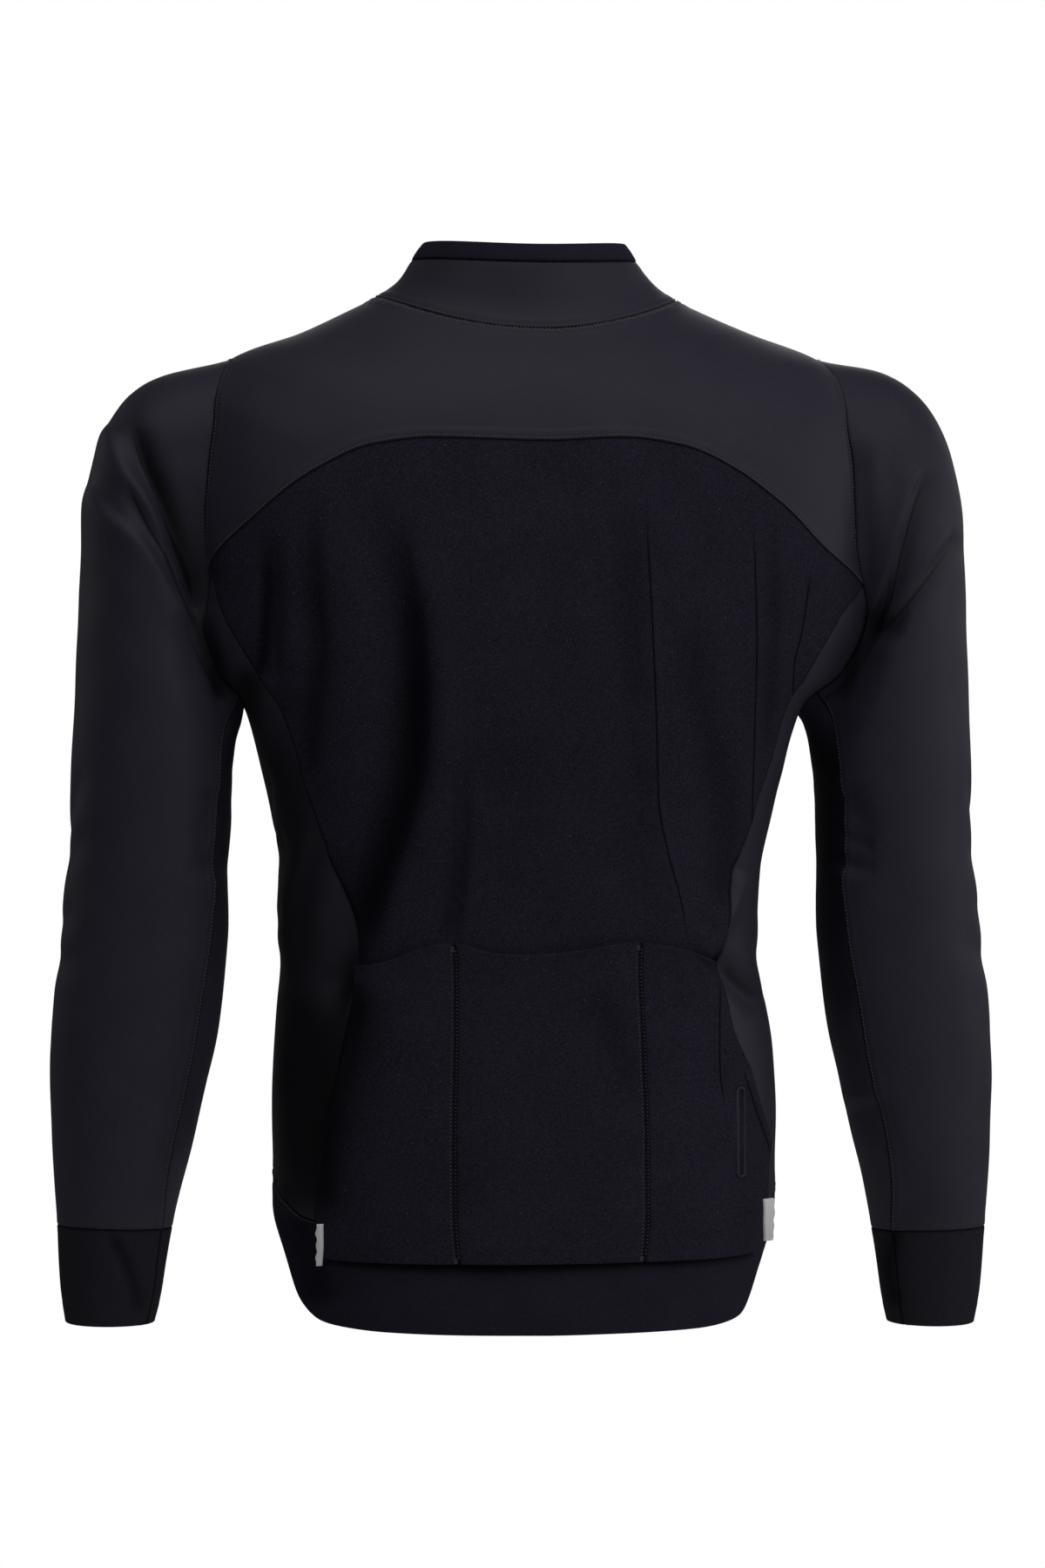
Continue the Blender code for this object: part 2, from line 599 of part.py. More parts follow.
def sleeve_points(side, angle, section):
    last = len(SLEEVE["outer_x"]) - 1.0
    up = sleeve_form(side, angle, np.clip(section - 0.1, 0, last))
    down = sleeve_form(side, angle, np.clip(section + 0.1, 0, last))
    across = sleeve_form(side, angle + 3, section) - sleeve_form(side, angle - 3, section)
    normals = side * unit(np.cross(down - up, across))
    points = folded(sleeve_form(side, angle, section), normals)
    plain = body_points(armhole(side, np.where(angle > ARM_STOPS[-1], angle - 360, angle)))
    at_armhole = (section <= 0)[..., None]
    return np.where(at_armhole, plain, points)


def sleeve_angles(sections, part):
    """Angles of each section's columns: armhole columns at the top, even ones lower down."""
    sections = np.asarray(sections, float)
    stops = np.arange(len(SLEEVE["outer_x"]))
    back = through(stops, SLEEVE["back_seam"], sections)
    front = through(stops, SLEEVE["front_seam"], sections)
    if part == "under":
        at_top = arm_angles(-20.0, 20.0)
        start, end = -front, back
    else:
        to_front = arm_angles(20.0, 300.0)
        at_top = joined(to_front, arm_angles(-60.0, -20.0) + 360)
        start, end = back, 360 - front
    even = start[:, None] + (end - start)[:, None] * np.linspace(0, 1, len(at_top))
    mix = smoothstep(sections / CAP_SECTIONS)[:, None]
    return at_top * (1 - mix) + even * mix


def sleeve_grid(side, sections, part):
    angles = sleeve_angles(sections, part)
    section = np.broadcast_to(np.asarray(sections, float)[:, None], angles.shape)
    return mirrored_order(side, sleeve_points(side, angles, section))


def cuff_grid(side):
    upper = sleeve_angles(CUFF_ROWS, "upper")
    under = sleeve_angles(CUFF_ROWS, "under") + 360
    angles = np.concatenate([upper, under[:, 1:-1]], axis=1)
    section = np.broadcast_to(np.asarray(CUFF_ROWS, float)[:, None], angles.shape)
    return mirrored_order(side, sleeve_points(side, angles, section))


def cells(rows, columns, closed):
    """Corner numbers of every cell of a grid, counted down, then across."""
    across = columns if closed else columns - 1
    i, j = np.meshgrid(np.arange(rows - 1), np.arange(across), indexing="ij")
    k = (j + 1) % columns
    return np.stack([i * columns + j, (i + 1) * columns + j, (i + 1) * columns + k, i * columns + k], -1)


def shared_normals(grids, closed):
    """Outward directions that pieces which meet at a seam have in common."""
    points = np.concatenate([grid.reshape(-1, 3) for grid in grids.values()])
    _, index = np.unique(np.round(points, 6), axis=0, return_inverse=True)
    index = index.reshape(-1)
    total = np.zeros((index.max() + 1, 3))
    start = 0
    for name, grid in grids.items():
        corners = cells(*grid.shape[:2], name in closed).reshape(-1, 4) + start
        a, b, c, d = (points[corners[:, k]] for k in range(4))
        direction = np.cross(c - a, d - b)
        for k in range(4):
            np.add.at(total, index[corners[:, k]], direction)
        start += grid.shape[0] * grid.shape[1]
    normals = unit(total)[index]
    found, start = {}, 0
    for name, grid in grids.items():
        size = grid.shape[0] * grid.shape[1]
        found[name] = normals[start : start + size].reshape(grid.shape)
        start += size
    return found


def draw_back(edge, next_line):
    """The direction that takes an edge off its seam, square to the seam."""
    along = unit(np.gradient(edge, axis=0))
    step = next_line - edge
    return unit(step - along * np.sum(step * along, axis=-1, keepdims=True))


def inset(layer, closed):
    """The layer drawn back from its own edges, to leave the seams' gaps, with mitred corners."""
    step = np.zeros(layer.shape)
    step[0] = draw_back(layer[0], layer[1])
    step[-1] = draw_back(layer[-1], layer[-2])
    if not closed:
        for column, beside in ((0, 1), (-1, -2)):
            side = draw_back(layer[:, column], layer[:, beside])
            for row in (0, -1):
                sharp = 1 + np.dot(side[row], step[row, column])
                side[row] = (side[row] + step[row, column]) / max(sharp, SHARPEST_MITRE)
            step[:, column] = side
    return layer + step * SEAM_INSET


def wall(name, material, outer, inner, closed=False):
    """A sheet of cloth: an outer and an inner layer, joined round their edges."""
    rows, columns = outer.shape[:2]
    count = rows * columns
    face = cells(rows, columns, closed).reshape(-1, 4)
    faces = [face, face[:, ::-1] + count]
    number = np.arange(count).reshape(rows, columns)
    across = np.append(number, number[:, :1], axis=1) if closed else number
    edges = [across[0], across[-1][::-1]]
    if not closed:
        edges += [number[:, 0][::-1], number[:, -1]]
    points = np.concatenate([outer.reshape(-1, 3), inner.reshape(-1, 3)])
    rims = [rim(edge[:-1], edge[1:], count, points) for edge in edges]
    mesh = bpy.data.meshes.new(name)
    mesh.from_pydata(points.tolist(), [], np.concatenate(faces).tolist() + np.concatenate(rims).tolist())
    return placed(name, material, mesh)


def rim(start, end, count, points):
    """Two triangles for each stretch of an edge, split the same way on both sides of a seam."""
    rising = (points[end] - points[start]) @ SPLIT_DIRECTION > 0
    below, beside = start + count, end + count
    first = np.stack([start, end, np.where(rising, beside, below)], -1)
    second = np.stack([np.where(rising, start, end), beside, below], -1)
    return np.concatenate([first, second])


def placed(name, material, mesh):
    mesh.materials.append(material)
    mesh.shade_smooth()
    mesh.set_sharp_from_angle(angle=math.radians(SHARP_ANGLE))
    thing = bpy.data.objects.new(name, mesh)
    bpy.data.collections["Winter cycling jacket"].objects.link(thing)
    return thing


def lying(name, material, points, normals, lift, thickness):
    """A flat trim on the body: its cloth's points moved out by lift."""
    inner = points + normals * lift
    return wall(name, material, points + normals * (lift + thickness), inner)


def pocket_panel(material, grids, normals):
    """Three pockets in one panel, made from the points of the back and of the hem band under it."""
    half_back, half_band = (grids[name].shape[1] // 2 for name in ("back_panel", "hem_band"))
    under = slice(half_band - half_back, half_band + half_back + 1)
    points, normals = (
        joined(layer["back_panel"][UPPER_BACK_ROWS:], layer["hem_band"][:2, under])
        for layer in (grids, normals)
    )
    lift = np.full(len(points), POCKET_LIFT)
    lift[0] = POCKET_MOUTH_LIFT
    lift[1] = (POCKET_LIFT + POCKET_MOUTH_LIFT) / 2
    inner = inset(points + normals * lift[:, None, None], False)
    outer = inset(points + normals * (lift + POCKET_WALL)[:, None, None], False)
    return wall("pocket_panel", material, outer, inner)


def reflective_tab(side, material):
    """A folded tape sewn over the side edge of the pocket panel, a little proud of the hem band."""
    name = side_name(side)
    stops, rows = np.arange(3), np.linspace(0, 2, 5)
    z, inner, outer = (through(stops, TAB[name + part], rows) for part in ("_z", "_inner", "_outer"))
    across = np.linspace(0, 1, 3)
    turn = side * (inner[:, None] + (outer - inner)[:, None] * across)
    plan = mirrored_order(side, place(turn, z[:, None]))
    flare = mirrored_order(side, np.broadcast_to(TAB_FLARE * across[:, None], plan.shape[:2] + (1,)))
    lift = TAB_LIFT + flare
    lying("reflective_tab_" + name, material, body_points(plan), body_normals(plan), lift, TRIM_WALL)


def pocket_zip(welt_material, coil_material):
    """The raised rim of the wearer's right pocket zip, and the closed coil inside it."""
    turn, z = WELT_CENTRE
    radius = np.linalg.norm(body_points(place(turn, z))[:2])
    lift = POCKET_LIFT + POCKET_WALL + TRIM_LIFT
    high = lift + TRIM_WALL

    def on_pocket(across, up):
        plan = place(turn + np.degrees(across / radius), z + up)
        return body_points(plan), body_normals(plan)

    angle = np.linspace(0, 2 * math.pi, WELT_CORNERS, endpoint=False)
    straight = WELT_LENGTH / 2 - WELT_WIDTH / 2
    rims = []
    for rounding in (WELT_WIDTH / 2, WELT_WIDTH / 2 - WELT_RIM):
        up = np.sin(angle) * rounding + np.where(angle < math.pi, straight, -straight)
        rims.append(on_pocket(np.cos(angle) * rounding + WELT_LEAN * up, up))
    (outer, outer_out), (inner, inner_out) = rims
    layers = (
        outer + outer_out * lift,
        outer + outer_out * high,
        inner + inner_out * high,
        inner + inner_out * lift,
    )
    ring_of("pocket_zip_welt", welt_material, np.stack(layers, 1))
    up = np.linspace(straight, -straight, POCKET_COIL_ROWS)[:, None] * np.ones((1, 2))
    across = np.array([[-POCKET_COIL_HALF_WIDTH, POCKET_COIL_HALF_WIDTH]]) + WELT_LEAN * up
    points, normals = on_pocket(across, up)
    lying("pocket_zip_coil", coil_material, points, normals, lift, POCKET_COIL_WALL)


def ring_of(name, material, corners):
    """A closed ring from a loop of cross-sections, four corners each."""
    loops, sides = corners.shape[:2]
    i, j = np.meshgrid(np.arange(loops), np.arange(sides), indexing="ij")
    m, n = (i + 1) % loops, (j + 1) % sides
    faces = np.stack([i * sides + j, m * sides + j, m * sides + n, i * sides + n], -1)
    mesh = bpy.data.meshes.new(name)
    mesh.from_pydata(corners.reshape(-1, 3).tolist(), [], faces.reshape(-1, 4).tolist())
    return placed(name, material, mesh)


def zip_line(grids, normals):
    """The centre front from the collar's top edge to the hem, and its outward directions."""
    names = ("collar_binding", "collar", "front_right", "hem_band")
    points = joined(*(grids[name][:, -1] for name in names))
    out = joined(*(normals[name][:, -1] for name in names))
    points[:, 0] = 0
    out[:, 0] = 0
    return points, unit(out)


def zip_strip(name, material, points, out, start_x, end_x, high, low):
    x = np.zeros((1, 2, 3))
    x[0, 0, 0], x[0, 1, 0] = start_x, end_x
    outer = points[:, None] + out[:, None] * high + x
    inner = points[:, None] + out[:, None] * low + x
    return wall(name, material, outer[:, ::-1], inner[:, ::-1])


def front_zip(tape_material, coil_material, metal, points, out):
    low = -TAPE_DEPTH - TAPE_WALL
    inner, outer = TAPE_INNER_EDGE, TAPE_HALF_WIDTH
    zip_strip("zip_tape_left", tape_material, points, out, -outer, -inner, -TAPE_DEPTH, low)
    zip_strip("zip_tape_right", tape_material, points, out, inner, outer, -TAPE_DEPTH, low)
    coil_points, coil_out = points[1:].copy(), out[1:]
    coil_points[0] += unit(coil_points[1] - coil_points[0]) * COIL_GAP
    width = COIL_HALF_WIDTH
    zip_strip("zip_coil", coil_material, coil_points, coil_out, -width, width, COIL_TOP, COIL_BOTTOM)
    tangent = unit(points[1] - points[0])
    normal = unit(np.cross(tangent, (-1.0, 0.0, 0.0)))
    middle = (points[0] + points[1]) / 2 - tangent * SLIDER_RISE
    slider_and_pull(metal, middle, tangent, normal)


def block(mesh, size, centre):
    """A box added to a bmesh, in the slider's own axes: x across, y down the zip, z out."""
    made = bmesh.ops.create_cube(mesh, size=1)
    bmesh.ops.scale(mesh, vec=size, verts=made["verts"])
    bmesh.ops.translate(mesh, vec=centre, verts=made["verts"])


def mesh_object(name, material, build):
    shape = bmesh.new()
    build(shape)
    mesh = bpy.data.meshes.new(name)
    shape.to_mesh(mesh)
    shape.free()
    return placed(name, material, mesh)


def union(target, other):
    other.hide_render = True
    other.display_type = "WIRE"
    modifier = target.modifiers.new("Join " + other.name, "BOOLEAN")
    modifier.operation = "UNION"
    modifier.object = other


def outline(points):
    """A closed poly spline's points, ready for a flat curve."""
    return [(float(x), float(y), 0.0, 1.0) for x, y in points]


def rounded_box(half_width, top, bottom, radius, steps=4):
    corners = (
        (half_width - radius, bottom - radius, 0),
        (-half_width + radius, bottom - radius, 90),
        (-half_width + radius, top + radius, 180),
        (half_width - radius, top + radius, 270),
    )
    points = []
    for x, y, start in corners:
        for step in range(steps + 1):
            angle = math.radians(start + 90 * step / steps)
            points.append((x + radius * math.cos(angle), y + radius * math.sin(angle)))
    return points


def slider_and_pull(metal, middle, tangent, normal):
    """The slider stays on the zip. The pull's top bar turns in the slot under the bridge."""
    depth = SLIDER_FACE - SLIDER_BACK
    pivot = middle + normal * PIVOT_LIFT
    face = SLIDER_FACE - PIVOT_LIFT
    across = np.cross(tangent, normal)
    frame = Matrix([[*line] for line in zip(across, tangent, normal, pivot)])
    frame.resize_4x4()
    slot_top = BRIDGE_SLOT / 2 - BRIDGE_DROP
    post = BRIDGE_SLOT / 2 + BRIDGE_BAR / 2

    def body(shape):
        block(shape, (SLIDER_WIDTH, SLIDER_LENGTH, depth), (0, 0, face - depth / 2))

    def bar(shape):
        size = (BRIDGE_WIDTH, BRIDGE_SLOT + 2 * BRIDGE_BAR, BRIDGE_BAR)
        block(shape, size, (0, 0, slot_top + BRIDGE_BAR / 2))

    def post_at(end):
        low, high = face - POST_ROOT, slot_top + BRIDGE_BAR / 2
        size = (BRIDGE_WIDTH * POST_SHARE, BRIDGE_BAR * POST_SHARE, high - low)
        return lambda shape: block(shape, size, (0, end * post, (low + high) / 2))

    slider = mesh_object("slider", metal, body)
    pieces = [mesh_object("bridge_bar", metal, bar)]
    pieces += [mesh_object("bridge_post_" + str(end), metal, post_at(end)) for end in (-1, 1)]
    for piece in pieces:
        union(slider, piece)
    curve = bpy.data.curves.new("pull_tab", "CURVE")
    curve.dimensions, curve.fill_mode, curve.extrude = "2D", "BOTH", PULL_THICK / 2
    window_width, window_length = PULL_WINDOW
    top = -PULL_BAR / 2
    shapes = (
        rounded_box(PULL_WIDTH / 2, top, top + PULL_LENGTH, PULL_CORNER),
        rounded_box(window_width / 2, PULL_BAR / 2, PULL_BAR / 2 + window_length, WINDOW_CORNER),
    )
    for points in shapes:
        spline = curve.splines.new("POLY")
        spline.points.add(len(points) - 1)
        spline.points.foreach_set("co", [value for point in outline(points) for value in point])
        spline.use_cyclic_u = True
    curve.materials.append(metal)
    pull = bpy.data.objects.new("pull_tab", curve)
    bpy.data.collections["Winter cycling jacket"].objects.link(pull)
    for thing in (slider, pull, *pieces):
        thing.matrix_world = frame


def material_of(name):
    colour, roughness = COLOURS[name]
    material = bpy.data.materials.new(name)
    material.use_nodes = True
    shader = material.node_tree.nodes["Principled BSDF"]
    shader.inputs["Base Color"].default_value = (*colour, 1)
    shader.inputs["Roughness"].default_value = roughness
    shader.inputs["Metallic"].default_value = 0.8 if name == "metal" else 0.0
    return material


def main():
    for thing in list(bpy.data.objects):
        bpy.data.objects.remove(thing)
    collection = bpy.data.collections.new("Winter cycling jacket")
    bpy.context.scene.collection.children.link(collection)
    cloth = {name: material_of(name) for name in COLOURS}

    plans = {"yoke": yoke_plan(), "back_panel": back_plan()}
    for side in (-1, 1):
        plans["side_panel_" + side_name(side)] = side_plan(side)
        plans["front_" + side_name(side)] = front_plan(side)
    plans["hem_band"] = hem_plan(plans)
    grids = {name: body_points(plan) for name, plan in plans.items()}
    with_zip_edge(grids["front_left"], 0)
    with_zip_edge(grids["front_right"], -1)
    with_zip_edge(grids["hem_band"], 0, -1)
    grids["collar"] = collar_points((2.0, 1.5, 1.0, 0.5, 0.0))
    grids["collar_binding"] = collar_points((3.0, 2.0))
    for side in (-1, 1):
        name = side_name(side)
        grids["sleeve_upper_" + name] = sleeve_grid(side, ARM_ROWS, "upper")
        grids["sleeve_under_" + name] = sleeve_grid(side, ARM_ROWS, "under")
        grids["cuff_" + name] = cuff_grid(side)

    tubes = ("cuff_left", "cuff_right")
    normals = shared_normals(grids, tubes)
    fabric = dict.fromkeys(grids, "smooth shell")
    fabric.update(dict.fromkeys(("back_panel", "hem_band", "collar_binding"), "brushed knit"))
    fabric.update(dict.fromkeys(tubes, "rib cuff"))
    for name, grid in grids.items():
        closed = name in tubes
        inner = grid - normals[name] * CLOTH_WALL
        wall(name, cloth[fabric[name]], inset(grid, closed), inset(inner, closed), closed)
    pocket_panel(cloth["brushed knit"], grids, normals)
    for side in (-1, 1):
        reflective_tab(side, cloth["reflective"])
    pocket_zip(cloth["smooth shell"], cloth["zip"])
    front_zip(cloth["brushed knit"], cloth["zip"], cloth["metal"], *zip_line(grids, normals))


main()
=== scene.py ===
import math

import bpy
import numpy as np
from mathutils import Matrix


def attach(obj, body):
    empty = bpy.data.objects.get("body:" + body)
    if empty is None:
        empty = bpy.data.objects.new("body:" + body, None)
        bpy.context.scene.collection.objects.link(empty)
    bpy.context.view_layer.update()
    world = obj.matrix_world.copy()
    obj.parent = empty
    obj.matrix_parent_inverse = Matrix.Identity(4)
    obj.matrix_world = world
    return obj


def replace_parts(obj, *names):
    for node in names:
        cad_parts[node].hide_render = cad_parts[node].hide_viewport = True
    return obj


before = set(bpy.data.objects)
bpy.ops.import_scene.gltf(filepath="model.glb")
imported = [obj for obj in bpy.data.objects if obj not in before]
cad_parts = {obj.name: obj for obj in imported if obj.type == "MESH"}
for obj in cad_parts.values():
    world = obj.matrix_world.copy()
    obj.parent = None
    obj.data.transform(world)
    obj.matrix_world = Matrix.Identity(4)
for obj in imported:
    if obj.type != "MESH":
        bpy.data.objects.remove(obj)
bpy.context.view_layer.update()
jacket, pull = "jacket", "pull"

# Metres, +Z up. The back of the jacket faces -Y and the wearer's right is +X.
# Body cloth is placed by a turn in degrees (0 centre back, +90 the wearer's right, 180 centre front)
# and a section, a row number of the table below that may fall between two rows.

camera = {
    "azimuth": -7.0,  # degrees round the jacket, from straight behind
    "distance": 3.2,
    "target": (-0.002, 0.0, -0.3132),
    "lens": 110.34,
}
studio = {
    # place, size and power of each square lamp; all aim at the middle of the jacket
    "lamps": {
        "overhead": ((0.0, -0.6, 3.0), 2.0, 12.2),
        "upperBack": ((0.0, -2.2, 2.4), 1.4, 12.2),
        "upperLeft": ((-1.6, -2.0, 2.0), 1.4, 7.4),
        "upperRight": ((1.6, -2.0, 2.0), 1.4, 9.7),
        "lowRight": ((2.0, -2.4, 0.3), 1.4, 7.9),
        "farRight": ((3.0, -0.3, 0.2), 1.4, 11.7),
        "rimLeft": ((-2.4, 1.8, 0.6), 1.4, 3.6),
        "rimRight": ((2.4, 1.8, 0.6), 1.4, 4.2),
        "front": ((0.5, 2.8, 1.2), 1.6, 18.0),
    },
    "aim": (0.0, 0.0, -0.25),
    "ambient": 0.042,
    "floorLevel": -1.45,
    "floorRadius": 3.0,
}
cloth = {
    "cell": 0.0021,  # size of one face of the outer layer
    "innerCell": 0.0052,
    "wall": 0.0019,
    "gap": -0.0001,  # each piece stops this far short of its seams: here they touch
}
# How the cloth meets each kind of edge: it rolls down by `drop` over `radius`, and stands up by
# `rise` over `band`, where the seam's allowance lies under it. Stitches run at `stitch` from it.
edges = {
    "seam": {"drop": 0.0010, "radius": 0.0015, "rise": 0.0001, "band": 0.005, "stitch": 0},
    "topstitched": {"drop": 0.0011, "radius": 0.0016, "rise": 0.0004, "band": 0.006, "stitch": 0.0022},
    "free": {"drop": 0.0009, "radius": 0.0011, "rise": 0.0002, "band": 0.012, "stitch": 0},
}
sewing = {
    "bandFade": 0.002,
    "dip": 0.00022,  # how far a row of stitches pulls the cloth in, and over what half width
    "dipWidth": 0.0008,
    "pucker": 0.00016,  # height, length and drift of the small puckers, and how far in they reach
    "puckerLength": 0.0093,
    "puckerDrift": 0.057,
    "puckerReach": 0.006,
    # painted shade: each seam darkens the cloth's colour along it, where the cloth rolls into the seam
    "shade": 0.7,  # how much a seam darkens, and over what width
    "shadeWidth": 0.0012,
}


def table(columns, *rows):
    # rows in millimetres become columns in metres; a starred column, an angle or a power, stays
    values = zip(columns.split(), np.array(rows, float).T)
    return {name.strip("*"): value / (1 if "*" in name else 1000) for name, value in values}


bodyRings = table(
    "halfWidth wing sway backDepth frontDepth zBack zSide zFront tilt squareness*",
    (101, 0, 0, 66, 78, -16, 9, -52, 0, 2),  # neck seam
    (150, 0, 0, 92, 96, -45, -13.5, -85, 0.8, 2.1),
    (200, 0, 0, 107, 106, -85, -33.5, -120, 1.6, 2.3),  # shoulder
    (218, 2, 0, 114, 111, -125, -58, -150, 1, 2.4),
    (222, 6, 0, 119, 115, -165, -100, -180, 0, 2.4),  # shoulder blades
    (213, 17, 0, 122, 118, -210, -155, -215, 0, 2.4),
    (203, 26, 0, 122, 119, -240, -205, -240, 0, 2.35),
    (195, 19, -1, 121, 120, -260, -237, -260, 0, 2.3),
    (188, -3, -2.2, 119, 120, -280, -263, -280, 0, 2.3),  # armpits
    (175, -5.8, -2.8, 112, 117, -320, -320, -320, 0, 2.3),
    (160.5, -1.2, -4.6, 104, 113, -385, -385, -385, 0, 2.3),
    (158, 1.6, -4.2, 101, 112, -430, -430, -430, 0, 2.3),  # waist
    (164, 2.6, -1.6, 106, 114, -490, -490, -490, 0, 2.3),
    (168, -0.3, -1, 113, 115, -550, -550, -550, 0, 2.3),
    (168, -0.8, -1.2, 116, 114, -590, -590, -590, 0, 2.3),
    (158, -1, -3.5, 117, 112, -635, -635, -635, 0, 2.3),
    (148, 4, -10, 116, 110, -680, -680, -680, 0, 2.3),  # below the tail
)
collarRings = table(
    "halfWidth wing sway backDepth frontDepth zBack zSide zFront tilt squareness*",
    (101, 0, 0, 66, 78, -16, 9, -52, 0, 2),  # neck seam
    (86, 0, 0, 61, 75, 1, 20, -27, 0, 2),
    (75.2, 0, -1, 57, 71, 28.5, 34, 18, 0, 2),  # binding seam
    (67, 0, -1, 54, 69, 40.8, 46.3, 29.5, 0, 2.1),  # top edge
)
# Round each armhole from the armpit (0) by the back (90) and the shoulder (180) to the front (270)
armholeLine = table(
    "round* leftTurn* leftZ rightTurn* rightZ",
    (-60, 112, -213, 112, -213),
    (-30, 101, -247, 101, -247),
    (0, 90, -262.5, 90, -262.5),
    (20, 79, -254, 84, -251),
    (45, 73, -226, 83, -224),
    (60, 72, -201, 79, -202),
    (75, 70.5, -172, 73, -181),  # yoke corner
    (95, 68.5, -142, 67, -148),
    (115, 66.2, -112, 64.5, -115),
    (135, 66.2, -85, 64.5, -88),
    (155, 69, -60, 67, -63),
    (180, 87, -33.5, 87, -29.5),
    (200, 106, -46, 106, -46),
    (220, 115, -68, 115, -68),  # forward shoulder seam
    (245, 119, -112, 119, -112),
    (270, 119, -158, 119, -158),
    (300, 112, -213, 112, -213),  # side seam of the front
)
yokeArc = table(
    "turn* z",
    (-70.5, -172),
    (-52, -140),
    (-39.5, -111),
    (-30, -95),
    (-20, -90.5),
    (0, -92),
    (15, -89.5),
    (24, -94),
    (33.5, -110.5),
    (40, -126.5),
    (54, -158.5),
    (73, -181),
)
# Seam of the back and a side panel, from the yoke corner to the hem band
princessLine = table(
    "leftTurn* leftZ rightTurn* rightZ",
    (70.5, -172, 73, -181),
    (65, -200, 63, -203),
    (60, -240, 58, -240),
    (58.5, -285, 57.5, -285),
    (54.8, -334, 54, -336),
    (50.5, -378, 50, -380),
    (47, -432, 47.3, -430),  # pocket mouth
    (47.8, -470, 48.4, -470),
    (50.8, -515, 57.8, -515),
    (55.2, -556, 63, -552),
    (55.8, -596.2, 61.5, -594.5),
)
hemLine = table(
    "turn* seamZ edgeZ",
    (0, -596.5, -667.5),
    (40, -596.5, -666.5),
    (55.8, -596.2, -664),
    (61.5, -594.5, -661.8),
    (70, -586, -652.5),
    (77, -579, -638),
    (85, -573, -609),
    (95, -569, -592),
    (112, -566, -588),
    (180, -566, -588),
)
pocketMouth = table(
    "turn* z",
    (-47, -432),
    (-40, -429.5),
    (-25, -417),
    (-20, -416.5),
    (-12, -422),
    (-3, -423.2),
    (4, -421.8),
    (15, -417.2),
    (21, -415.2),
    (26, -416.8),
    (35, -421.3),
    (47.3, -430),
)
# Sleeve sections, seen from behind: outermost and innermost points, then depth front to back
sleeveRings = table(
    "outerX outerZ innerX innerZ halfDepth yCentre backSeam* frontSeam* tilt leftSway rightSway",
    (201.5, -34, 190, -262.5, 56, 4, 20, 20, 2, 0, 0),  # armhole
    (246.6, -44, 191, -269, 59, 4, 24, 24, 3.5, 0, 0),
    (265, -54.8, 192, -273, 61, 4, 27, 26, 3.3, 0.5, 0),
    (285.2, -89.5, 194.5, -284, 63, 4, 30, 30, 2, 0.5, 0),
    (295, -136.6, 196, -300, 64, 4, 33, 34, 0.8, 0.5, 0),
    (297.5, -183, 197, -313, 64, 4, 35, 38, 0, 1.5, 0),
    (299.5, -238.6, 197.2, -333, 62, 3, 36, 40, 0, 1.5, 0),
    (302, -295, 197.8, -352, 60, 2, 36, 40, 0, 1, -0.5),
    (303.5, -347, 198.4, -378, 57, 2, 36, 40, 0, 0.5, -1),  # elbow
    (308.5, -406, 198, -408, 55, 4, 40, 42, 0, 0.5, 0),
    (315, -476, 204.8, -475.5, 53, 8, 45, 45, 0, 0.6, 1.5),
    (315.5, -511, 212.2, -511, 51, 10, 45, 45, -0.6, 0.6, 2.2),
    (314.3, -546, 220.3, -546, 48, 12, 47, 45, -1.4, 0.8, 2.4),
    (313, -580, 228.8, -580, 45, 14, 44, 45, -2.4, 0.9, 2.8),
    (311, -607.5, 235, -609.5, 41, 16, 38, 45, -3.4, 0.9, 3),  # cuff seam
    (308.5, -650, 241, -650, 37, 18, 38, 45, -3.6, 0.6, 3),
    (304, -673, 245.8, -673, 35, 19, 38, 45, -3.6, -0.5, 3.5),  # cuff edge
)
shoulderTurn, sideSeamTurn = 118.0, 112.0
capSections = 5.0  # sections over which the round armhole becomes the sleeve's own oval
seamSections = 0.25  # sections over which the sleeve's first rows run into the body's cloth
cuffSection, lastSection = 14.0, 16.0
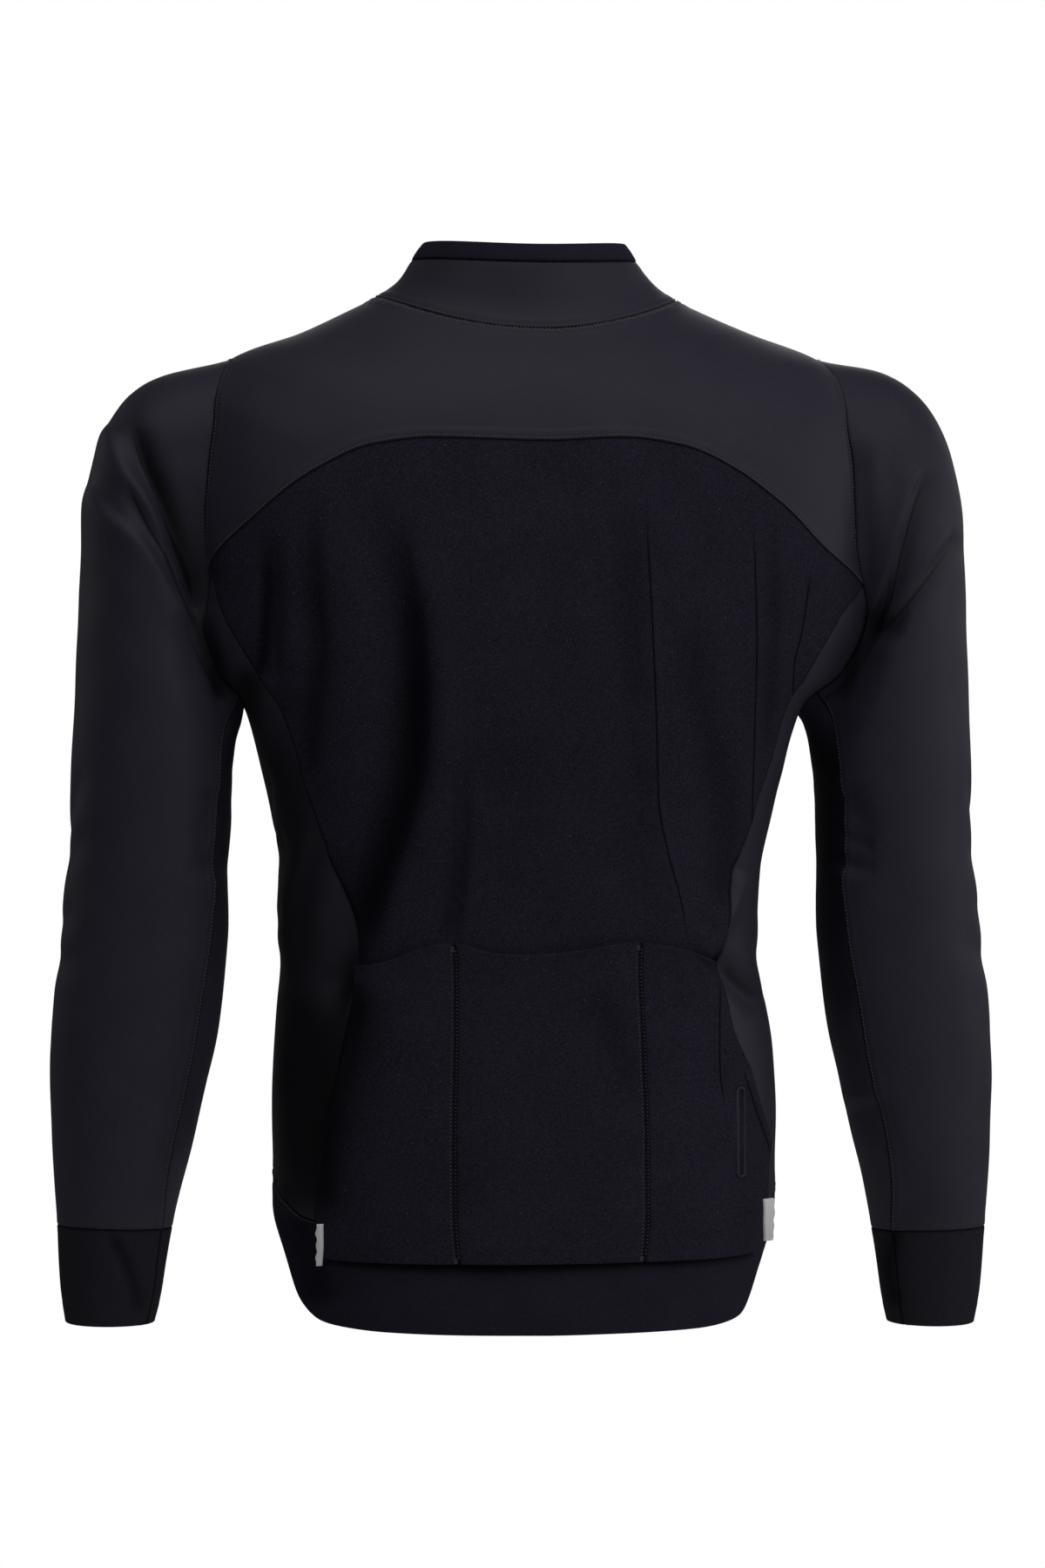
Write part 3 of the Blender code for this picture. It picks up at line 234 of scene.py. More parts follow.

# Folds, laid over the cloth as it looks from behind, from the front or from one side.
# Each row, in millimetres: name, face, rise (+ ridge, - trough), half width on the - side and on the
# + side, then its path. The + side is on the left going along. A third number in a point is the
# share of the rise there.
folds = (
    ("back left trough", "back", -12, 12, 11, (-114, -132, 0.12), (-102, -174, 0.4), (-95, -216, 0.7),
     (-93, -257, 0.9), (-94, -299), (-104, -341), (-118, -384), (-130, -425), (-136, -480, 0.2)),
    ("back left crest", "back", 3, 5, 12, (-96, -132, 0.2), (-84, -174, 0.6), (-77, -216), (-74, -257),
     (-75, -299), (-85, -341), (-98, -384), (-108, -425, 0.8)),
    ("back left swell", "back", 3, 14, 14, (-134, -145), (-129, -240), (-134, -330)),
    ("blade trough left", "back", -5.5, 6, 6, (-177, -148, 0.5), (-176, -187), (-177, -223),
     (-172, -252, 0.6)),
    ("side fold left", "back", -4.2, 10, 4.8, (-152, -122, 0.3), (-149, -187, 0.8), (-146, -229),
     (-150, -279), (-153, -312, 0.5)),
    ("waist crease left", "back", -4, 10, 3.8, (-53, -296, 0.2), (-53, -341, 0.7), (-56, -383),
     (-61, -420)),
    ("back right valley", "back", -2.8, 16, 12, (55, -105, 0.5), (52, -173), (49, -257), (54, -341),
     (55, -412, 0.7)),
    ("long crease right", "back", 1.3, 12, 2.8, (64, -132, 0.5), (67, -201), (70, -257), (74, -327),
     (80, -355), (91, -392), (97, -424)),
    ("back right soft valley", "back", -3, 12, 10, (88, -205, 0.4), (108, -285, 0.9), (123, -342),
     (122, -402, 0.9)),
    ("side line right", "back", 1, 10, 2.8, (136, -140, 0.5), (139, -228), (140, -285), (142, -368)),
    ("blade valley right", "back", -2.6, 7, 9, (149, -135, 0.6), (152, -200), (151, -256, 0.8),
     (150, -300, 0.2)),
    ("blade crease right", "back", -3, 3.6, 9, (178, -175, 0.6), (173, -213), (168, -236),
     (169, -262, 0.6)),
    ("waist ridge right", "back", 4.8, 8, 5, (138, -370, 0.6), (124, -400), (113, -420), (105, -430)),
    ("waist hollow right", "back", -8.5, 7, 6.5, (108, -427, 0.6), (125, -436), (137, -446),
     (152, -464, 0.5)),
    ("waist dip right", "back", -3.5, 6, 7, (132, -362, 0.4), (120, -388), (106, -412)),
    ("pocket crease right", "back", -1.4, 5, 2.8, (119, -440), (117, -494), (120, -523)),
    ("pocket fan right", "back", 1.6, 3, 3, (134, -500), (145, -531), (158, -561)),
    ("pocket fan side", "back", -1.4, 3, 3, (139, -500), (148, -522), (160, -550)),
    ("side ridge left", "back", 4.2, 6, 5, (-148, -330, 0.5), (-157, -380), (-162, -407),
     (-164, -445, 0.5)),
    ("side swell left", "back", 3.5, 11, 9, (-138, -350, 0.5), (-140, -395), (-138, -440, 0.5)),
    ("side hollow left", "back", -4, 9, 8, (-146, -460, 0.5), (-151, -510), (-150, -565, 0.6)),
    ("pocket edge left", "back", -2.4, 5, 5, (-117, -438), (-122, -475), (-129, -520, 0.4)),
    ("hem crease left", "back", 1.6, 3, 3, (-167, -574), (-160, -594), (-148, -612)),
    ("drag ridge left", "back", 4.2, 8.5, 3.2, (-286, -68, 0.5), (-278, -83), (-270, -105), (-254, -128),
     (-241, -152), (-230, -173), (-220, -199, 0.8)),
    ("drag trough left", "back", -8.5, 5, 9, (-264, -76, 0.35), (-258, -105, 0.85), (-245, -132),
     (-234, -159), (-223, -191, 0.9), (-216, -214, 0.5)),
    ("lower drag ridge left", "back", 3.6, 10, 3.2, (-297, -113, 0.5), (-289, -124), (-281, -137),
     (-263, -153), (-248, -173), (-236, -196), (-227, -214, 0.6)),
    ("lower drag trough left", "back", -4.5, 5, 4, (-270, -116, 0.4), (-255, -143), (-241, -167),
     (-228, -197, 0.7)),
    ("armhole valley left", "back", -3, 8, 8, (-228, -110, 0.4), (-221, -155), (-214, -192)),
    ("drag trough right", "back", -3.4, 3.4, 8, (266, -100, 0.3), (253, -124), (245, -152), (240, -179),
     (234, -209), (226, -224, 0.6)),
    ("drag ridge right", "back", 3, 10, 3, (258, -96, 0.3), (247, -124), (239, -152), (234, -179),
     (228, -205)),
    ("lower drag trough right", "back", -3, 3.2, 8, (286, -143, 0.4), (280, -154), (263, -175), (245, -198),
     (228, -220)),
    ("lower drag ridge right", "back", 3, 8, 3, (279, -142, 0.5), (258, -166), (241, -188), (229, -206)),
    ("shoulder ridge right", "back", 3, 8, 8, (228, -75, 0.4), (223, -106), (225, -129), (229, -156, 0.6)),
    ("armhole valley right", "back", -1.6, 6, 6, (217, -95, 0.5), (219, -118), (221, -163),
     (225, -192, 0.7)),
    ("elbow trough left", "back", -2.2, 9, 9, (-206, -315), (-214, -350), (-206, -378)),
    ("elbow trough right", "back", -3.2, 9, 9, (204, -315), (218, -345), (206, -375)),
    ("elbow crease left", "back", -0.7, 4, 4, (-201, -352), (-214, -366), (-232, -372)),
    ("elbow crease right", "back", -1.4, 3.5, 3.5, (200, -338), (211, -350), (226, -356)),
    ("elbow crease right low", "back", -1.2, 3.5, 3.5, (201, -358), (212, -367), (228, -370)),
    ("forearm hollow right", "back", -3, 14, 10, (226, -520), (242, -560), (268, -602)),
    ("cuff trough left", "back", -3.4, 3.4, 4, (-278, -609), (-268, -626), (-261, -644), (-257, -664)),
    ("cuff crease right", "back", -1.6, 3, 3, (250, -612), (247, -634), (252, -664)),
    ("front left trough", "front", -5.5, 14, 9, (-150, -190, 0.5), (-112, -300), (-88, -430, 0.7)),
    ("front right trough", "front", -5.5, 9, 14, (150, -200, 0.5), (114, -290), (90, -410, 0.7)),
    ("front left crease", "front", -3, 8, 4, (-122, -140, 0.4), (-92, -235), (-70, -330, 0.6)),
    ("front right crease", "front", -3, 4, 8, (126, -150, 0.4), (98, -230), (64, -350, 0.6)),
    ("front left waist", "front", -3.5, 8, 8, (-132, -380), (-90, -412), (-42, -424, 0.5)),
    ("front right waist", "front", -3.5, 8, 8, (137, -392), (92, -424), (38, -432, 0.5)),
    ("front left hip", "front", 3, 10, 10, (-125, -455), (-82, -490), (-46, -540)),
    ("front right hip", "front", 3, 10, 10, (128, -450), (92, -500), (56, -550)),
    ("elbow front left", "front", -6, 10, 8, (-203, -338, 0.6), (-245, -362), (-287, -350, 0.6)),
    ("elbow front right", "front", -6, 8, 10, (203, -342, 0.6), (246, -364), (287, -354, 0.6)),
    ("elbow front low left", "front", -4, 7, 6, (-210, -376, 0.6), (-245, -393), (-280, -384, 0.6)),
    ("elbow front low right", "front", -4, 6, 7, (211, -382, 0.6), (248, -397), (282, -389, 0.6)),
    ("armpit front left", "front", -6, 5, 8, (-280, -106, 0.4), (-246, -155), (-222, -208)),
    ("armpit front right", "front", -6, 8, 5, (282, -114, 0.4), (248, -160), (222, -214)),
    ("outer arm left", "left", -1.4, 10, 8, (-35, -345), (0, -362), (35, -352)),
    ("outer arm right", "right", -1.4, 10, 8, (-32, -352), (4, -366), (38, -356)),
    ("outer arm low left", "left", -1, 8, 6, (-25, -395), (8, -405), (40, -396)),
    ("outer arm low right", "right", -1, 8, 6, (-28, -388), (6, -400), (36, -392)),
    ("side waist left", "left", -1.6, 10, 8, (-60, -405, 0.5), (-10, -430), (60, -415)),
    ("side waist right", "right", -1.6, 10, 8, (-50, -412, 0.5), (-5, -430), (65, -420)),
    ("side drag left", "left", -1.4, 9, 6, (-30, -300), (12, -350), (70, -385)),
    ("side drag right", "right", -1.4, 9, 6, (-35, -305), (8, -345), (65, -380)),
)
# How quickly a fold fades at its ends, what is left of it there, how sharply it ends where the cloth
# turns to another face, and after how many half widths it counts no more
foldShape = {"taper": 6.0, "end": 0.12, "facing": 1.5, "reach": 3}
# Slow unevenness of worn cloth: rise, wavelength, direction in degrees, phase
waves = ((0.00030, 0.097, 18, 0.3), (0.00018, 0.061, 100, 1.9))


def through(knots, values, at):
    # a smooth curve through values at rising knots, which never overshoots them
    knots, values, at = (np.asarray(v, float) for v in (knots, values, at))
    span = np.diff(knots)
    slope = np.diff(values) / span
    before, after = slope[:-1], slope[1:]
    same = before * after > 0
    inner = np.where(same, 2 * before * after / np.where(same, before + after, 1), 0)
    tangent = np.concatenate([slope[:1], inner, slope[-1:]])
    i = np.clip(np.searchsorted(knots, at, side="right") - 1, 0, len(span) - 1)
    f = (at - knots[i]) / span[i]
    start = values[i] * (1 + 2 * f) * (1 - f) ** 2 + tangent[i] * span[i] * f * (1 - f) ** 2
    return start + values[i + 1] * f**2 * (3 - 2 * f) + tangent[i + 1] * span[i] * f**2 * (f - 1)


def column(rings, name, section):
    return through(np.arange(len(rings[name])), rings[name], section)


def unit(vectors):
    return vectors / np.maximum(np.linalg.norm(vectors, axis=-1, keepdims=True), 1e-12)


def smoothstep(x):
    x = np.clip(x, 0, 1)
    return x * x * (3 - 2 * x)


def ringHeight(rings, turn, section):
    # from the side's height to the back's or the front's, by the square of the turn's cosine
    s, c = np.sin(np.radians(turn)), np.cos(np.radians(turn))
    side = column(rings, "zSide", section) + column(rings, "tilt", section) * s
    end = np.where(c > 0, column(rings, "zBack", section), column(rings, "zFront", section))
    return side + (end - side) * c * c


def ringPoint(rings, turn, section):
    # a superellipse: half a width across, a back and a front depth, wings out at the sides
    width, wing, sway, back, front, power = (
        column(rings, name, section)
        for name in ("halfWidth", "wing", "sway", "backDepth", "frontDepth", "squareness")
    )
    s, c = np.sin(np.radians(turn)), np.cos(np.radians(turn))
    scale = (abs(s) ** power + abs(c) ** power) ** (-1 / power)
    x = width * s * scale + (wing * np.sign(s) + sway) * abs(s) ** 6
    y = -np.where(c > 0, back, front) * c * scale
    return np.stack([x, y, ringHeight(rings, turn, section)], -1)


def bodySection(turn, z):
    # the section whose height at this turn is z, found by halving
    turn, z = np.broadcast_arrays(np.asarray(turn, float), np.asarray(z, float))
    low, high = np.zeros(z.shape), np.full(z.shape, len(bodyRings["zSide"]) - 1.0)
    for _ in range(40):
        middle = (low + high) / 2
        above = ringHeight(bodyRings, turn, middle) > z
        low, high = np.where(above, middle, low), np.where(above, high, middle)
    return (low + high) / 2


def outward(turn, section):
    last = len(bodyRings["zSide"]) - 1
    down = ringPoint(bodyRings, turn, np.clip(section + 0.05, 0, last))
    up = ringPoint(bodyRings, turn, np.clip(section - 0.05, 0, last))
    across = ringPoint(bodyRings, turn + 1, section) - ringPoint(bodyRings, turn - 1, section)
    return unit(np.cross(down - up, across))


def smoothPath(path, steps=6):
    # a path in millimetres, in metres and with its corners rounded
    path = np.array([(*point, 1.0)[:3] for point in path]) / (1000, 1000, 1)
    knots = np.arange(len(path))
    at = np.linspace(0, len(path) - 1, (len(path) - 1) * steps + 1)
    return np.stack([through(knots, path[:, k], at) for k in range(3)], -1)


def fromPath(points, path):
    # distance to the nearest stretch, signed by its side, how far along the path from 0 to 1, and
    # the path's own third number there
    start, run = path[:-1, :2], np.diff(path[:, :2], axis=0)
    length = np.linalg.norm(run, axis=1)
    run = run / length[:, None]
    away = points[:, None] - start
    reach = np.clip(np.sum(away * run, -1), 0, length)
    distance = np.linalg.norm(away - reach[..., None] * run, axis=-1)
    i = np.argmin(distance, axis=1)
    row = np.arange(len(points))
    side = run[i, 0] * away[row, i, 1] - run[i, 1] * away[row, i, 0]
    before = np.concatenate([[0], np.cumsum(length)])
    along = (before[i] + reach[row, i]) / before[-1]
    return distance[row, i] * np.sign(side), along, np.interp(along, before / before[-1], path[:, 2])


def endFade(along):
    taper, end = foldShape["taper"], foldShape["end"]
    return smoothstep(along * taper + end) * smoothstep((1 - along) * taper + end)


def nearPath(flat, path, reach):
    return np.all((flat > path.min(0)[:2] - reach) & (flat < path.max(0)[:2] + reach), -1)


def bell(flat, path, low, high):
    # a bell across the path, with its own half width on either side, which fades at both ends
    away, along, share = fromPath(flat, path)
    return share * np.exp(-math.log(2) * (away / np.where(away > 0, high, low)) ** 2) * endFade(along)


def foldHeight(points, normals):
    # each fold's bell, as far as the cloth faces that way, and the slow waves
    height = np.zeros(points.shape[:-1])
    back = np.clip(0.5 - foldShape["facing"] * normals[..., 1], 0, 1)
    facing = {
        "back": (back, 0),
        "front": (1 - back, 0),
        "left": (smoothstep(-2 * normals[..., 0] - 0.4), 1),
        "right": (smoothstep(2 * normals[..., 0] - 0.4), 1),
    }
    for _, face, rise, low, high, *path in folds:
        seen, axis = facing[face]
        rise, low, high, path = rise / 1000, low / 1000, high / 1000, smoothPath(path)
        flat = points[..., (axis, 2)]
        near = nearPath(flat, path, foldShape["reach"] * max(low, high)) & (seen > 0.002)
        if axis == 1:
            near &= points[..., 0] * (1 if face == "right" else -1) > 0
        if near.any():
            height[near] += rise * bell(flat[near], path, low, high) * seen[near]
    for rise, length, direction, phase in waves:
        slant = math.radians(direction)
        across = points[..., 0] * math.cos(slant) + points[..., 2] * math.sin(slant) + points[..., 1] * 0.7
        bend = 1.3 * np.sin(19 * points[..., 2] + 31 * points[..., 0])
        height += rise * np.sin(2 * math.pi * across / length + phase + bend)
    return height


def folded(points, normals):
    return points + normals * foldHeight(points, normals)[..., None]


def place(turn, z):
    turn, z = np.broadcast_arrays(np.asarray(turn, float), np.asarray(z, float))
    return np.stack([turn, bodySection(turn, z)], -1)


def bodyNormals(plan):
    return outward(plan[..., 0], plan[..., 1])


def bodyPoints(plan):
    return folded(ringPoint(bodyRings, plan[..., 0], plan[..., 1]), bodyNormals(plan))


def joined(*stretches):
    return np.concatenate([stretches[0], *(stretch[1:] for stretch in stretches[1:])])


def sideName(side):
    return "right" if side > 0 else "left"


def armhole(side, angle):
    name = sideName(side)
    turn = through(armholeLine["round"], armholeLine[name + "Turn"], angle)
    return place(side * turn, through(armholeLine["round"], armholeLine[name + "Z"], angle))


def princess(side, stops):
    name = sideName(side)
    knots = np.arange(len(princessLine["leftZ"]))
    turn = through(knots, princessLine[name + "Turn"], stops)
    return place(side * turn, through(knots, princessLine[name + "Z"], stops))


def neck(turns):
    return np.stack([turns, np.zeros(len(turns))], -1)


def hem(turns, name):
    return place(turns, through(hemLine["turn"], hemLine[name], abs(turns)))


def between(start, end, count):
    return start + (end - start) * np.linspace(0, 1, count + 1)[:, None]


def acrossBack(line, count):
    turns = np.linspace(line["turn"][0], line["turn"][-1], count + 1)
    return place(turns, through(line["turn"], line["z"], turns))


def patch(top, bottom, left, right, fade=1):
    # the four edges blended over the grid between them
    v = np.linspace(0, 1, len(left))[:, None]
    u = np.linspace(0, 1, len(top))[None, :, None]
    leftBend = (left - (1 - v) * top[0] - v * bottom[0])[:, None]
    rightBend = (right - (1 - v) * top[-1] - v * bottom[-1])[:, None]
    v = v[:, None]
    return (1 - v) * top + v * bottom + (1 - u) ** fade * leftBend + u**fade * rightBend


def nearestPlan(points, plan):
    # walks each plan point to the place on the plain body that lies nearest to its own target
    for _ in range(25):
        here, stepTurn, stepSection = ringPoint(bodyRings, *np.moveaxis(plan, -1, 0)), 0.5, 0.01
        across = (ringPoint(bodyRings, plan[..., 0] + stepTurn, plan[..., 1]) - here) / stepTurn
        down = (ringPoint(bodyRings, plan[..., 0], plan[..., 1] + stepSection) - here) / stepSection
        aa, dd, ad = (np.sum(m * n, -1) for m, n in ((across, across), (down, down), (across, down)))
        ra, rd = (np.sum(m * (points - here), -1) for m in (across, down))
        step = np.stack([ra * dd - rd * ad, rd * aa - ra * ad], -1) / (aa * dd - ad * ad)[..., None]
        plan = plan + np.clip(step, (-6.0, -0.4), (6.0, 0.4))
        plan[..., 1] = np.maximum(plan[..., 1], 0)
    return plan


def mirrored(side, plan):
    return plan if side > 0 else plan[:, ::-1]


# Counts of the even grids that the seams are first drawn on
backCount, frontCount, shoulderCount, upperRows, lowerRows = 104, 48, 40, 112, 60
armCount = 30  # columns of a quarter or so of an armhole


def armAngles(*stops):
    return joined(*(np.linspace(a, b, armCount + 1) for a, b in zip(stops, stops[1:])))


def shoulderSeam(side):
    start = neck(np.array([side * shoulderTurn]))[0]
    return between(start, armhole(side, np.array([220.0]))[0], shoulderCount)


def yokePlan():
    top = neck(np.linspace(-shoulderTurn, shoulderTurn, backCount + 1))
    angles = armAngles(75.0, 148.0, 220.0)[::-1]
    left, right = (joined(shoulderSeam(side), armhole(side, angles)) for side in (-1, 1))
    sides = (top, acrossBack(yokeArc, backCount), left, right)
    form = patch(*(ringPoint(bodyRings, *edge.T) for edge in sides), fade=5)
    plan = patch(*sides, fade=5)
    plan[1:-1, 1:-1] = nearestPlan(form[1:-1, 1:-1], np.maximum(plan[1:-1, 1:-1], 0))
    return plan


def backPlan():
    upper, lower = np.linspace(0, 6, upperRows + 1), np.linspace(6, 10, lowerRows + 1)
    left, right = princess(-1, lower[-1:])[0], princess(1, lower[-1:])[0]
    bottom = hem(np.linspace(left[0], right[0], backCount + 1), "seamZ")
    mouth = acrossBack(pocketMouth, backCount)
    above = patch(acrossBack(yokeArc, backCount), mouth, princess(-1, upper), princess(1, upper))
    return joined(above, patch(mouth, bottom, princess(-1, lower), princess(1, lower)))


def sideSeam(side, count):
    end = hem(np.array([side * sideSeamTurn]), "seamZ")[0]
    return between(armhole(side, np.array([300.0]))[0], end, count)


def sidePlan(side):
    top = armhole(side, armAngles(-60.0, 0.0, 75.0)[::-1])
    stops = joined(np.linspace(0, 6, upperRows + 1), np.linspace(6, 10, lowerRows + 1))
    backEdge = princess(side, stops)
    frontEdge = sideSeam(side, upperRows + lowerRows)
    turns = np.linspace(backEdge[-1, 0], frontEdge[-1, 0], len(top))
    sides = (top, hem(turns, "seamZ"), backEdge, frontEdge)
    level = patch(*(np.stack([edge[:, 0], ringHeight(bodyRings, *edge.T)], -1) for edge in sides))
    return mirrored(side, place(level[..., 0], level[..., 1]))


def frontPlan(side):
    top = neck(side * np.linspace(shoulderTurn, 180, frontCount + 1))
    armEdge = armhole(side, armAngles(220.0, 260.0, 300.0))
    outerEdge = joined(shoulderSeam(side), armEdge, sideSeam(side, upperRows + lowerRows))
    bottom = hem(side * np.linspace(sideSeamTurn, 180, frontCount + 1), "seamZ")
    down = (outerEdge[:, 1] - outerEdge[0, 1]) / (outerEdge[-1, 1] - outerEdge[0, 1])
    centre = top[-1] + (bottom[-1] - top[-1]) * down[:, None]
    return mirrored(side, patch(top, bottom, outerEdge, centre))


def hemPlan(plans):
    names = ("front_left", "side_panel_left", "back_panel", "side_panel_right", "front_right")
    top = joined(*(plans[name][-1] for name in names))
    edge = hem(top[:, 0], "edgeZ")
    return np.stack([top + (edge - top) * part for part in np.linspace(0, 1, 41)])


def pocketPlan(plans):
    back, band = plans["back_panel"][upperRows:], plans["hem_band"]
    middle, half = band.shape[1] // 2, backCount // 2
    return joined(back, band[:15, middle - half : middle + half + 1])


def collarPlan(first, last):
    turn, section = np.meshgrid(np.linspace(-180, 180, 241), np.linspace(last, first, 25))
    return np.stack([turn, section], -1)


def sleeveOval(side, angle, section):
    names = "outerX outerZ innerX innerZ halfDepth yCentre tilt " + sideName(side) + "Sway"
    outerX, outerZ, innerX, innerZ, depth, yCentre, tilt, sway = (
        column(sleeveRings, name, section) for name in names.split()
    )
    s, c = np.sin(np.radians(angle)), np.cos(np.radians(angle))
    x = (outerX + innerX - (outerX - innerX) * c) / 2
    z = (outerZ + innerZ - (outerZ - innerZ) * c) / 2
    return np.stack([side * x + sway, yCentre - depth * s, z + side * tilt], -1)


def sleeveHole(side, angle):
    return armhole(side, np.where(angle > 300.0, angle - 360, angle))


def sleeveForm(side, angle, section):
    # oval sections, drawn at the top towards the armhole's own outline
    plan = sleeveHole(side, angle)
    hole = ringPoint(bodyRings, plan[..., 0], plan[..., 1])
    pulled = 1 - smoothstep(section / capSections)
    shift = hole - sleeveOval(side, angle, np.zeros(np.shape(section)))
    return sleeveOval(side, angle, section) + shift * pulled[..., None]


def sleevePoints(side, plan):
    angle, section = plan[..., 0], plan[..., 1]
    up = sleeveForm(side, angle, np.clip(section - 0.1, 0, lastSection))
    down = sleeveForm(side, angle, np.clip(section + 0.1, 0, lastSection))
    across = sleeveForm(side, angle + 3, section) - sleeveForm(side, angle - 3, section)
    points = folded(sleeveForm(side, angle, section), side * unit(np.cross(down - up, across)))
    hole = bodyPoints(sleeveHole(side, angle))
    own = smoothstep(section / seamSections)[..., None]
    return hole * (1 - own) + points * own


def sleevePlan(side, sections, part):
    back, front = column(sleeveRings, "backSeam", sections), column(sleeveRings, "frontSeam", sections)
    if part == "under":
        atTop, start, end = armAngles(-20.0, 20.0), -front, back
    elif part == "upper":
        atTop = joined(armAngles(20.0, 90.0, 160.0, 230.0, 300.0), armAngles(-60.0, -20.0) + 360)
        start, end = back, 360 - front
    else:
        atTop, start, end = np.linspace(20, 380, 121), back, 360 + back
    even = start[:, None] + (end - start)[:, None] * np.linspace(0, 1, len(atTop))
    mix = smoothstep(sections / capSections)[:, None]
    angles = atTop * (1 - mix) + even * mix
    return mirrored(side, np.stack([angles, np.broadcast_to(sections[:, None], angles.shape)], -1))


def lengthsAlong(points, axis):
    # running length along a grid's rows or columns, zero at the first
    step = np.linalg.norm(np.diff(points, axis=axis), axis=-1)
    return np.concatenate([np.zeros_like(np.take(step, [0], axis)), np.cumsum(step, axis=axis)], axis=axis)


rollStops = np.array([0.0004, 0.0009, 0.0016, 0.0026])
rolled = len(rollStops) - 1


def stopsFor(length, cell):
    # shares from 0 to 1 that crowd at both ends, where the cloth rolls into its seams
    close = rollStops * min(1, length / 0.01) / length
    even = np.linspace(close[-1], 1 - close[-1], max(3, round(length / cell)))
    return np.concatenate([[0], close[:-1], even, 1 - close[-2::-1], [1]])


def resampled(plan, rowsAt, columnsAt):
    # straight lines between the grid's own rows and columns
    for axis, at in ((0, rowsAt), (1, columnsAt)):
        last = plan.shape[axis] - 1
        i = np.minimum((at * last).astype(int), last - 1)
        f = (at * last - i).reshape([-1, 1, 1] if axis == 0 else [1, -1, 1])
        plan = np.take(plan, i, axis) * (1 - f) + np.take(plan, i + 1, axis) * f
    return plan


def evenByLength(plan, surface):
    # the grid with its rows spread evenly along the surface's mean length
    run = lengthsAlong(surface(plan), 0).mean(axis=1)
    at = np.interp(np.linspace(0, run[-1], len(run)), run, np.linspace(0, 1, len(run)))
    return resampled(plan, at, np.linspace(0, 1, plan.shape[1]))


def gridNormals(points):
    return unit(np.cross(np.gradient(points, axis=0), np.gradient(points, axis=1)))


def drawnIn(points):
    # the outline drawn back from the seams by the cloth's gap
    moved = points.copy()
    for axis in (0, 1):
        rows = np.moveaxis(moved, axis, 0)
        rows[0] += unit(rows[2] - rows[0]) * cloth["gap"]
        rows[-1] += unit(rows[-3] - rows[-1]) * cloth["gap"]
    return moved


def edgeHeights(fromEdges, styles):
    # a quarter round that rolls down at the edge, with a low band above it and small puckers;
    # a plain edge is cut straight
    height = 0
    for (away, along), style in zip(fromEdges, styles):
        if style == "plain":
            continue
        edge = edges[style]
        near = np.clip(1 - away / edge["radius"], 0, 1)
        height = height - edge["drop"] * (1 - np.sqrt(1 - near**2))
        height = height + edge["rise"] * (1 - smoothstep((away - edge["band"]) / sewing["bandFade"]))
        if style != "free":
            drift = 1.8 * np.sin(2 * math.pi * along / sewing["puckerDrift"])
            ripple = np.sin(2 * math.pi * along / sewing["puckerLength"] + drift)
            height = height + sewing["pucker"] * ripple * np.exp(-away / sewing["puckerReach"])
        if edge["stitch"]:
            height = height - sewing["dip"] * np.exp(-(((away - edge["stitch"]) / sewing["dipWidth"]) ** 2))
    return height


def clothPiece(name, plan, surface, styles, materialName, cell=None, wall=None, lift=None, innerCell=None):
    # a wall of cloth: a fine outer layer, a coarser inner one, and a rim that joins their edges
    cell = cell or (cloth["cell"], cloth["cell"])
    rough = surface(plan)
    down, across = lengthsAlong(rough, 0)[-1].mean(), lengthsAlong(rough, 1)[:, -1].mean()
    plan = resampled(plan, stopsFor(down, cell[0]), stopsFor(across, cell[1]))
    points = surface(plan)
    normals = gridNormals(points)
    v, u = lengthsAlong(points, 0), lengthsAlong(points, 1)
    fromEdges = ((v, u), (v[-1] - v, u), (u, v), (u[:, -1:] - u, v))  # top, bottom, left, right
    lifted = 0 * v if lift is None else lift(plan, v, u)
    base = drawnIn(points)
    outer = base + normals * (edgeHeights(fromEdges, styles) + lifted)[..., None]
    under = base + normals * (lifted - (wall or cloth["wall"]))[..., None]

    def picked(count, length):
        step = max(1, round((innerCell or cloth["innerCell"]) / (length / count)))
        last = count - 1
        return np.unique([0, rolled, *range(rolled, last - rolled, step), last - rolled, last])

    rows, columns = outer.shape[:2]
    rowPick, columnPick = picked(rows, down), picked(columns, across)
    inner = under[np.ix_(rowPick, columnPick)]
    vertices = np.concatenate([outer.reshape(-1, 3), inner.reshape(-1, 3)])
    number = np.arange(rows * columns).reshape(rows, columns)
    innerNumber = rows * columns + np.arange(inner[..., 0].size).reshape(inner.shape[:2])
    rims = [
        rim(number[0], innerNumber[0], columnPick),
        rim(number[-1], innerNumber[-1], columnPick)[:, ::-1],
        rim(number[:, 0], innerNumber[:, 0], rowPick)[:, ::-1],
        rim(number[:, -1], innerNumber[:, -1], rowPick),
    ]
    quads = np.concatenate([gridFaces(number), gridFaces(innerNumber)[:, (0, 3, 2, 1)]])
    mesh = meshFrom(name, vertices, quads, np.concatenate(rims))
    uv = np.stack([u, v], -1)
    putUv(mesh, np.concatenate([uv.reshape(-1, 2), uv[np.ix_(rowPick, columnPick)].reshape(-1, 2)]))
    sewn = [away for (away, _), style in zip(fromEdges, styles) if style in ("seam", "topstitched")]
    return {
        "object": addPiece(name, mesh, materialName, [name]),
        "outer": outer,
        "normals": normals,
        "plan": plan,
        "fromSeam": np.min(sewn, axis=0) if sewn else v * 0 + 1,
    }


def gridFaces(number):
    # the four corners of each cell of a grid of vertex numbers
    return np.stack([number[:-1, :-1], number[1:, :-1], number[1:, 1:], number[:-1, 1:]], -1).reshape(-1, 4)


